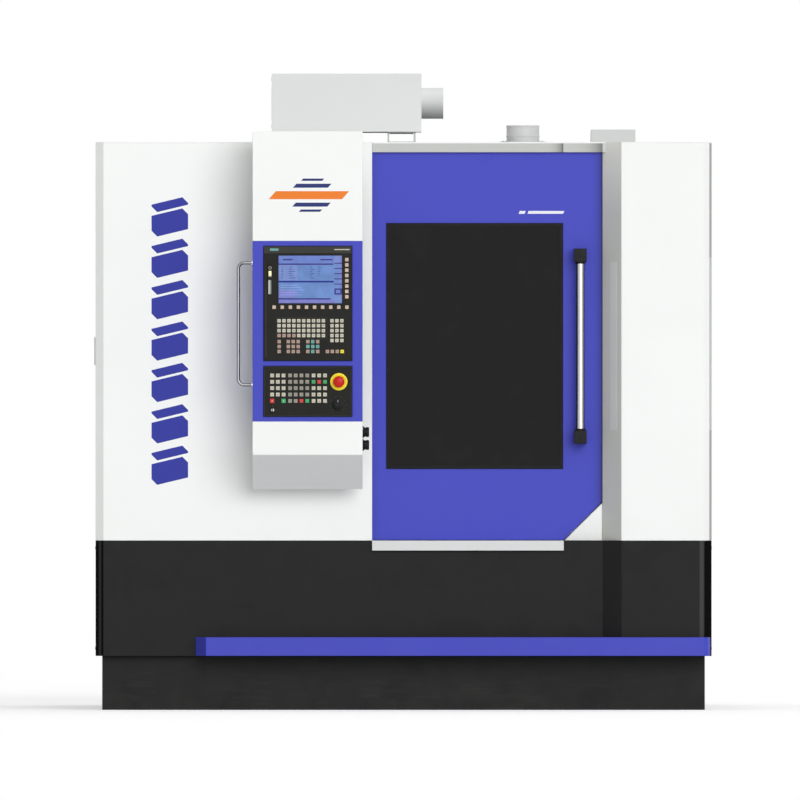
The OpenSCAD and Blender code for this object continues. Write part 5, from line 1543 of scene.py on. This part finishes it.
class GEAR_OT_cabinet(bpy.types.Operator):
    """Fits louvres, filter, latches and switch plate to the cabinet, and the gear inside it"""
    bl_idname = "gear.cabinet"
    bl_label = "Cabinet"

    def execute(self, context):
        body, door = cad("electrical_cabinet"), cad("cabinet_door")
        face = body[1].y - 6
        self.fit_door(door, face)

        x, z = middle("main_switch").xz
        half_plate = 56
        corner = half_plate - 10
        plate = Form("switch_plate").on("rear", face, -x, z)
        plate.rim((-half_plate, half_plate), (-half_plate, half_plate), (0, 2), 19.5, "Yellow plastic",
                  edge=0.6)
        plate.block((-1.6, 1.6), (41, 52), (2, 2.3), "Black plastic")
        plate.ring(4, 5.6, (2, 2.3), "Black plastic", (-46.5, 0), steps=24)
        plate.screws(grid((-corner, corner), (-corner, corner)), height=3.4, d=7)
        plate.done("rear_door", "black_plastic")

        form = Form("cabinet_fittings").on("top", door[1].z)
        for place in grid((body[0].x + 60, body[1].x - 60), (body[0].y + 60, body[1].y - 80)):
            eye_bolt(form, place)
        form.on("left", body[0].x)
        for v in ((1560, 1760), (170, 370)):
            form.louvres((-face + 60, -body[0].y - 60), v, 8, "Grey coat", rows=7)
        form.on("right", body[1].x, body[0].y)
        form.block((70, 290), (1290, 1560), (0, 3), "Zinc plate", edge=1)
        for place in grid((110, 180, 250), (1330, 1392, 1454, 1516)):
            gland(form, place)
        form.on("rear", face - 21)
        form.block((-door[1].x + 20, -door[0].x - 20), (26, 78), (0, 4), "Grey coat", edge=2)
        form.done("enclosure", "gray_paint")

        self.fit_gear(body)
        return {"FINISHED"}

    def fit_door(self, door, face):
        u0, u1, low, high = -door[1].x, -door[0].x, door[0].z, door[1].z
        form = Form("cabinet_door_fittings").on("rear", face)
        form.rim((u0 + 26, u1 - 34), (low + 30, high - 30), (0, 3), 6, "Grey coat", edge=1.5)
        form.louvres((u0 + 180, u1 - 180), (high - 260, high - 90), 9, "Grey coat", rows=8)
        u, v = (u0 + u1) / 2, low + 260
        form.slab((u, v), 240, 240, (0, 7), "Black plastic", edge=3)
        for k in range(13):
            form.slab((u, v - 98 + 16 * k), 208, 8, (6.8, 9.5), "Black plastic", edge=1.6)
        form.on("rear", face, u0 + 48)
        for z in (low + 330, high - 500):
            form.disc(17, (0, 4), "Zinc plate", (0, z), steps=28, cut=(3, 2))
            form.slab((0, z), 14, 3.6, (3.9, 4.3), "Recess painted shade")
        form.slab((0, 1000), 34, 190, (0, 9), "Black plastic", edge=4)
        form.slab((0, 1012), 22, 144, (9, 24), "Black plastic", edge=5)
        form.disc(10, (9, 14), "Zinc plate", (0, 922), steps=24, cut=(2, 1))
        form.done("rear_door", "gray_paint")

    def fit_gear(self, body):
        left, right = -body[1].x + 75, -body[0].x - 75
        gear = Form("cabinet_gear").on("rear", body[0].y + 30)
        duct_rows, drive_row, drive_pitch = (225, 700, 1010, 1290, 1715), 1350, 112
        for v in duct_rows:
            wire_duct(gear, left, right, v)
        for u in spaced(left + 8, right - 108, drive_pitch):
            drive_unit(gear, u, drive_row, wide=100, tall=335)
        breaker_row(gear, left, right, 1090, wide=36, tall=90, deep=62, finish="Dull key")
        breaker_row(gear, left, right, 795, wide=54, tall=92, deep=84, finish="Black plastic")
        gear.block((left, right), (612, 645), (0, 8), "Zinc plate", edge=0.6)
        for i, u in enumerate(spaced(left + 10, right - 20, 10.5)):
            finish = "Ivory key" if i % 8 else "Yellow plastic"
            gear.block((u, u + 9.4), (600, 658), (6, 46), finish, edge=0.8)
        for u, wide in ((left + 20, 190), (left + 250, 150)):
            gear.block((u, u + wide), (320, 500), (0, 120), "Grey coat", edge=4)
            for k in range(9):
                gear.block((u + 14, u + wide - 14), (338 + 16 * k, 344 + 16 * k), (119.6, 120.3),
                           "Recess painted shade")
        gear.block((left + 440, right - 16), (300, 540), (0, 70), "Zinc plate", edge=2)
        gear.disc(52, (70, 132), "Casting paint", (left + 505, 420), steps=36, cut=(6, 4))
        gear.done("enclosure", "gray_paint")


class GEAR_OT_coolant(bpy.types.Operator):
    """Fits lids, handles and gauge to the tank, and fins and boxes to its pumps"""
    bl_idname = "gear.coolant"
    bl_label = "Coolant tank"

    def execute(self, context):
        tank, pumps = cad("coolant_tank"), cad("coolant_pumps")
        top, y = tank[1].z, middle("coolant_tank").y
        form = Form("tank_fittings").on("top", top)
        for u in (tank[1].x - 580, tank[1].x - 300):
            form.cover((u, u + 270), (tank[0].y + 60, tank[1].y - 50), 5, "Black coat", edge=2,
                       inset=(16, 16), height=9, d=12)
            bail(form, ((u + 80, y), (u + 190, y)), 10, "Zinc plate", lift=38, bend=7)
        form.on("right", tank[1].x)
        gauge = 885
        form.block(wider((gauge, gauge), 15), (140, 400), (0, 9), "Zinc plate", edge=2)
        # The gauge tube glows: painted light.
        form.pipe([(gauge, 155, 11), (gauge, 385, 11)], 12, "Lamp lens and painted glow")
        form.screws([(gauge, 150), (gauge, 390)], height=16, d=16)
        form.turned([(21, 0), (21, 10), (17, 12), (17, 22), (0, 22)], "Zinc plate", (1090, 60), steps=6)
        form.on("left", tank[0].x)
        form.turned([(40, 0), (40, 5), (27, 5), (27, 45), (22, 45), (22, 5)], "Zinc plate", (-1000, 330),
                    steps=36, closed=True)
        form.done("enclosure", "black_paint")

        form = Form("pump_fittings")
        y, r = middle("coolant_pumps").y, 65.0
        for x in (pumps[0].x + 80, pumps[1].x - 80):
            for k in range(24):
                form.on("top", top, x, y, 15 * k)
                form.block((r - 1, r + 7), (-1.6, 1.6), (70, 178), "Grey coat", edge=0.7)
            form.on("top", top, x, y)
            form.ring(r + 0.2, r + 8, (180, 230), "Black plastic", cut=(6, 8))
            for radius in (14, 26, 38, 50):
                form.ring(radius, radius + 5, (230, 231.6), "Black plastic", steps=40)
            form.screws(around(72, 4, pi / 4), height=24, d=12)
            form.slab((0, -87), 72, 50, (88, 158), "Grey coat", edge=5)
            form.screws([(u, -87) for u in (-27, 27)], height=160, d=6)
            form.on("front", y - 110, x, top + 123)
            form.screws(grid((-27, 27), (-26, 26)), height=4, d=7)
        form.done("enclosure", "gray_paint")
        return {"FINISHED"}


class GEAR_OT_rear_wall(bpy.types.Operator):
    """Fits hatch, louvres, plates and screws to the rear wall, and nuts to the feet"""
    bl_idname = "gear.rear_wall"
    bl_label = "Rear wall"

    def execute(self, context):
        wall, high = cad("rear_wall"), cad("roof_panel")[1].z
        u0, u1 = -wall[1].x, -cad("electrical_cabinet")[1].x
        hatch = (u0 + 180, u1 - 420)
        edge, spacing = 24, 240
        form = Form("rear_wall_fittings").on("rear", wall[1].y)
        form.seam((u0 + 40, u1 - 10), 593, 0.3)
        form.cover(hatch, (720, 1500), 5, "White coat", edge=2.5, inset=(18, 18), height=9, rows=3)
        for u in (hatch[0] + 120, hatch[1] - 120):
            bail(form, ((u, 1040), (u, 1180)), 11, "Black plastic", lift=42)
        for u in (hatch, (u1 - 350, u1 - 60)):
            form.louvres(u, (1600, 1840), 10, "White coat")
        form.cover((u1 - 330, u1 - 90), (760, 1300), 4, "White coat", edge=2, inset=(16, 16), height=7)
        form.screws(grid((u0 + edge,), spaced(240, high - 30, spacing)), height=3)
        form.screws(grid(spaced(u0 + edge, u1 - 30, spacing + 10), (high - 26,)), height=3)
        form.turned([(30, 0), (30, 4), (24, 4), (24, 8), (0, 8)], "Black plastic", (u1 - 210, 640), steps=32)
        form.done("enclosure", "white_paint")

        leg, feet = Form("levelling_nuts"), cad("levelling_feet")
        for x, y in grid((feet[0].x + 45, feet[1].x - 45), (feet[0].y + 45, feet[1].y - 45)):
            leg.on("top", 40, x, y).prism(around(19, 6), (-14, -1), "Zinc plate", edge=1.5)
        leg.done("enclosure", "steel")
        return {"FINISHED"}


# ---- Stage ----

class GEAR_OT_stage(bpy.types.Operator):
    """Lays the floor and sets the lamps, the room light and the camera"""
    bl_idname = "gear.stage"
    bl_label = "Stage"

    def execute(self, context):
        s, scene = sizes(), context.scene
        reach = s.floor_reach / 2
        mesh = bpy.data.meshes.new("floor")
        mesh.from_pydata([(-reach, -reach, 0), (reach, -reach, 0), (reach, reach, 0),
                          (-reach, reach, 0)], [], [(0, 1, 2, 3)])
        floor = bpy.data.objects.new("floor", mesh)
        scene.collection.objects.link(floor)
        paint = bpy.data.materials.new("Studio floor")
        paint.use_nodes = True
        w = Wiring(paint.node_tree)
        w.tree.nodes.remove(w.tree.nodes["Principled BSDF"])
        tone = w.blend(w.noise(w.where(), 3.0, detail=3.0), tint("#e4e4e4"), tint("#e9e9e9"))
        matt = w.add("BsdfDiffuse", {"Color": tone})
        glow = w.add("Emission", {"Strength": w.times(w.seen(), FLOOR_GLOW)})
        both = w.add("AddShader", {0: matt.outputs[0], 1: glow.outputs[0]})
        w.put(both.outputs[0], w.tree.nodes["Material Output"].inputs[0])
        mesh.materials.append(paint)

        world = bpy.data.worlds.new("Studio")
        scene.world = world
        world.use_nodes = True
        w = Wiring(world.node_tree)
        back = w.tree.nodes["Background"].inputs
        back["Color"].default_value = (1, 1, 1, 1)
        w.put(w.spread(w.seen(), 0.0, 1.0, to_low=s.room_light, to_high=1.0), back["Strength"])

        for name, strength, spread, way in (("Key lamp", s.key_lamp, 40, (0.27, -0.8, 0.25)),
                                            ("Rear lamp", s.rear_lamp, 60, (0.35, 0.6, 0.75))):
            lamp = bpy.data.lights.new(name, "SUN")
            lamp.energy, lamp.angle = strength, radians(spread)
            holder = bpy.data.objects.new(name, lamp)
            holder.rotation_mode = "QUATERNION"
            holder.rotation_quaternion = Vector(way).to_track_quat("Z", "Y")
            scene.collection.objects.link(holder)

        lens = bpy.data.cameras.new("Front camera")
        lens.lens, lens.sensor_width = s.lens, SENSOR
        away = FIELD * s.lens / SENSOR
        lens.clip_start, lens.clip_end = 1, away + 400
        view = bpy.data.objects.new("Front camera", lens)
        view.location = (AIM[0], cad("left_front_cover")[0].y / 1000 - away, AIM[1])
        view.rotation_euler = (pi / 2, 0, 0)
        scene.collection.objects.link(view)
        scene.camera = view
        scene.view_settings.view_transform = "Standard"
        return {"FINISHED"}


OPERATORS = (GEAR_OT_finishes, GEAR_OT_frame_parts, GEAR_OT_front_trim, GEAR_OT_livery,
             GEAR_OT_side_walls, GEAR_OT_roof, GEAR_OT_door, GEAR_OT_operator_panel,
             GEAR_OT_control_panel, GEAR_OT_console, GEAR_OT_hob, GEAR_OT_column,
             GEAR_OT_work_side, GEAR_OT_cabinet, GEAR_OT_coolant, GEAR_OT_rear_wall,
             GEAR_OT_stage)


class GEAR_PT_machine(bpy.types.Panel):
    """Colours, sizes and one button for each step"""
    bl_idname = "GEAR_PT_machine"
    bl_label = "Gear hobbing machine"
    bl_space_type = "VIEW_3D"
    bl_region_type = "UI"
    bl_category = "Gear Machine"

    def draw(self, context):
        for group in (context.scene.gear_machine_colours, context.scene.gear_machine_sizes):
            column = self.layout.column(align=True)
            for name in group.__annotations__:
                column.prop(group, name)
        column = self.layout.column(align=True)
        for operator in OPERATORS:
            column.operator(operator.bl_idname)


CLASSES = (MachineColours, MachineSizes, *OPERATORS, GEAR_PT_machine)


def register():
    for one in CLASSES:
        bpy.utils.register_class(one)
    bpy.types.Scene.gear_machine_colours = PointerProperty(type=MachineColours)
    bpy.types.Scene.gear_machine_sizes = PointerProperty(type=MachineSizes)


def unregister():
    del bpy.types.Scene.gear_machine_sizes
    del bpy.types.Scene.gear_machine_colours
    for one in reversed(CLASSES):
        bpy.utils.unregister_class(one)


def main():
    register()
    for operator in OPERATORS:
        family, name = operator.bl_idname.split(".")
        getattr(getattr(bpy.ops, family), name)()


if __name__ == "__main__":
    main()
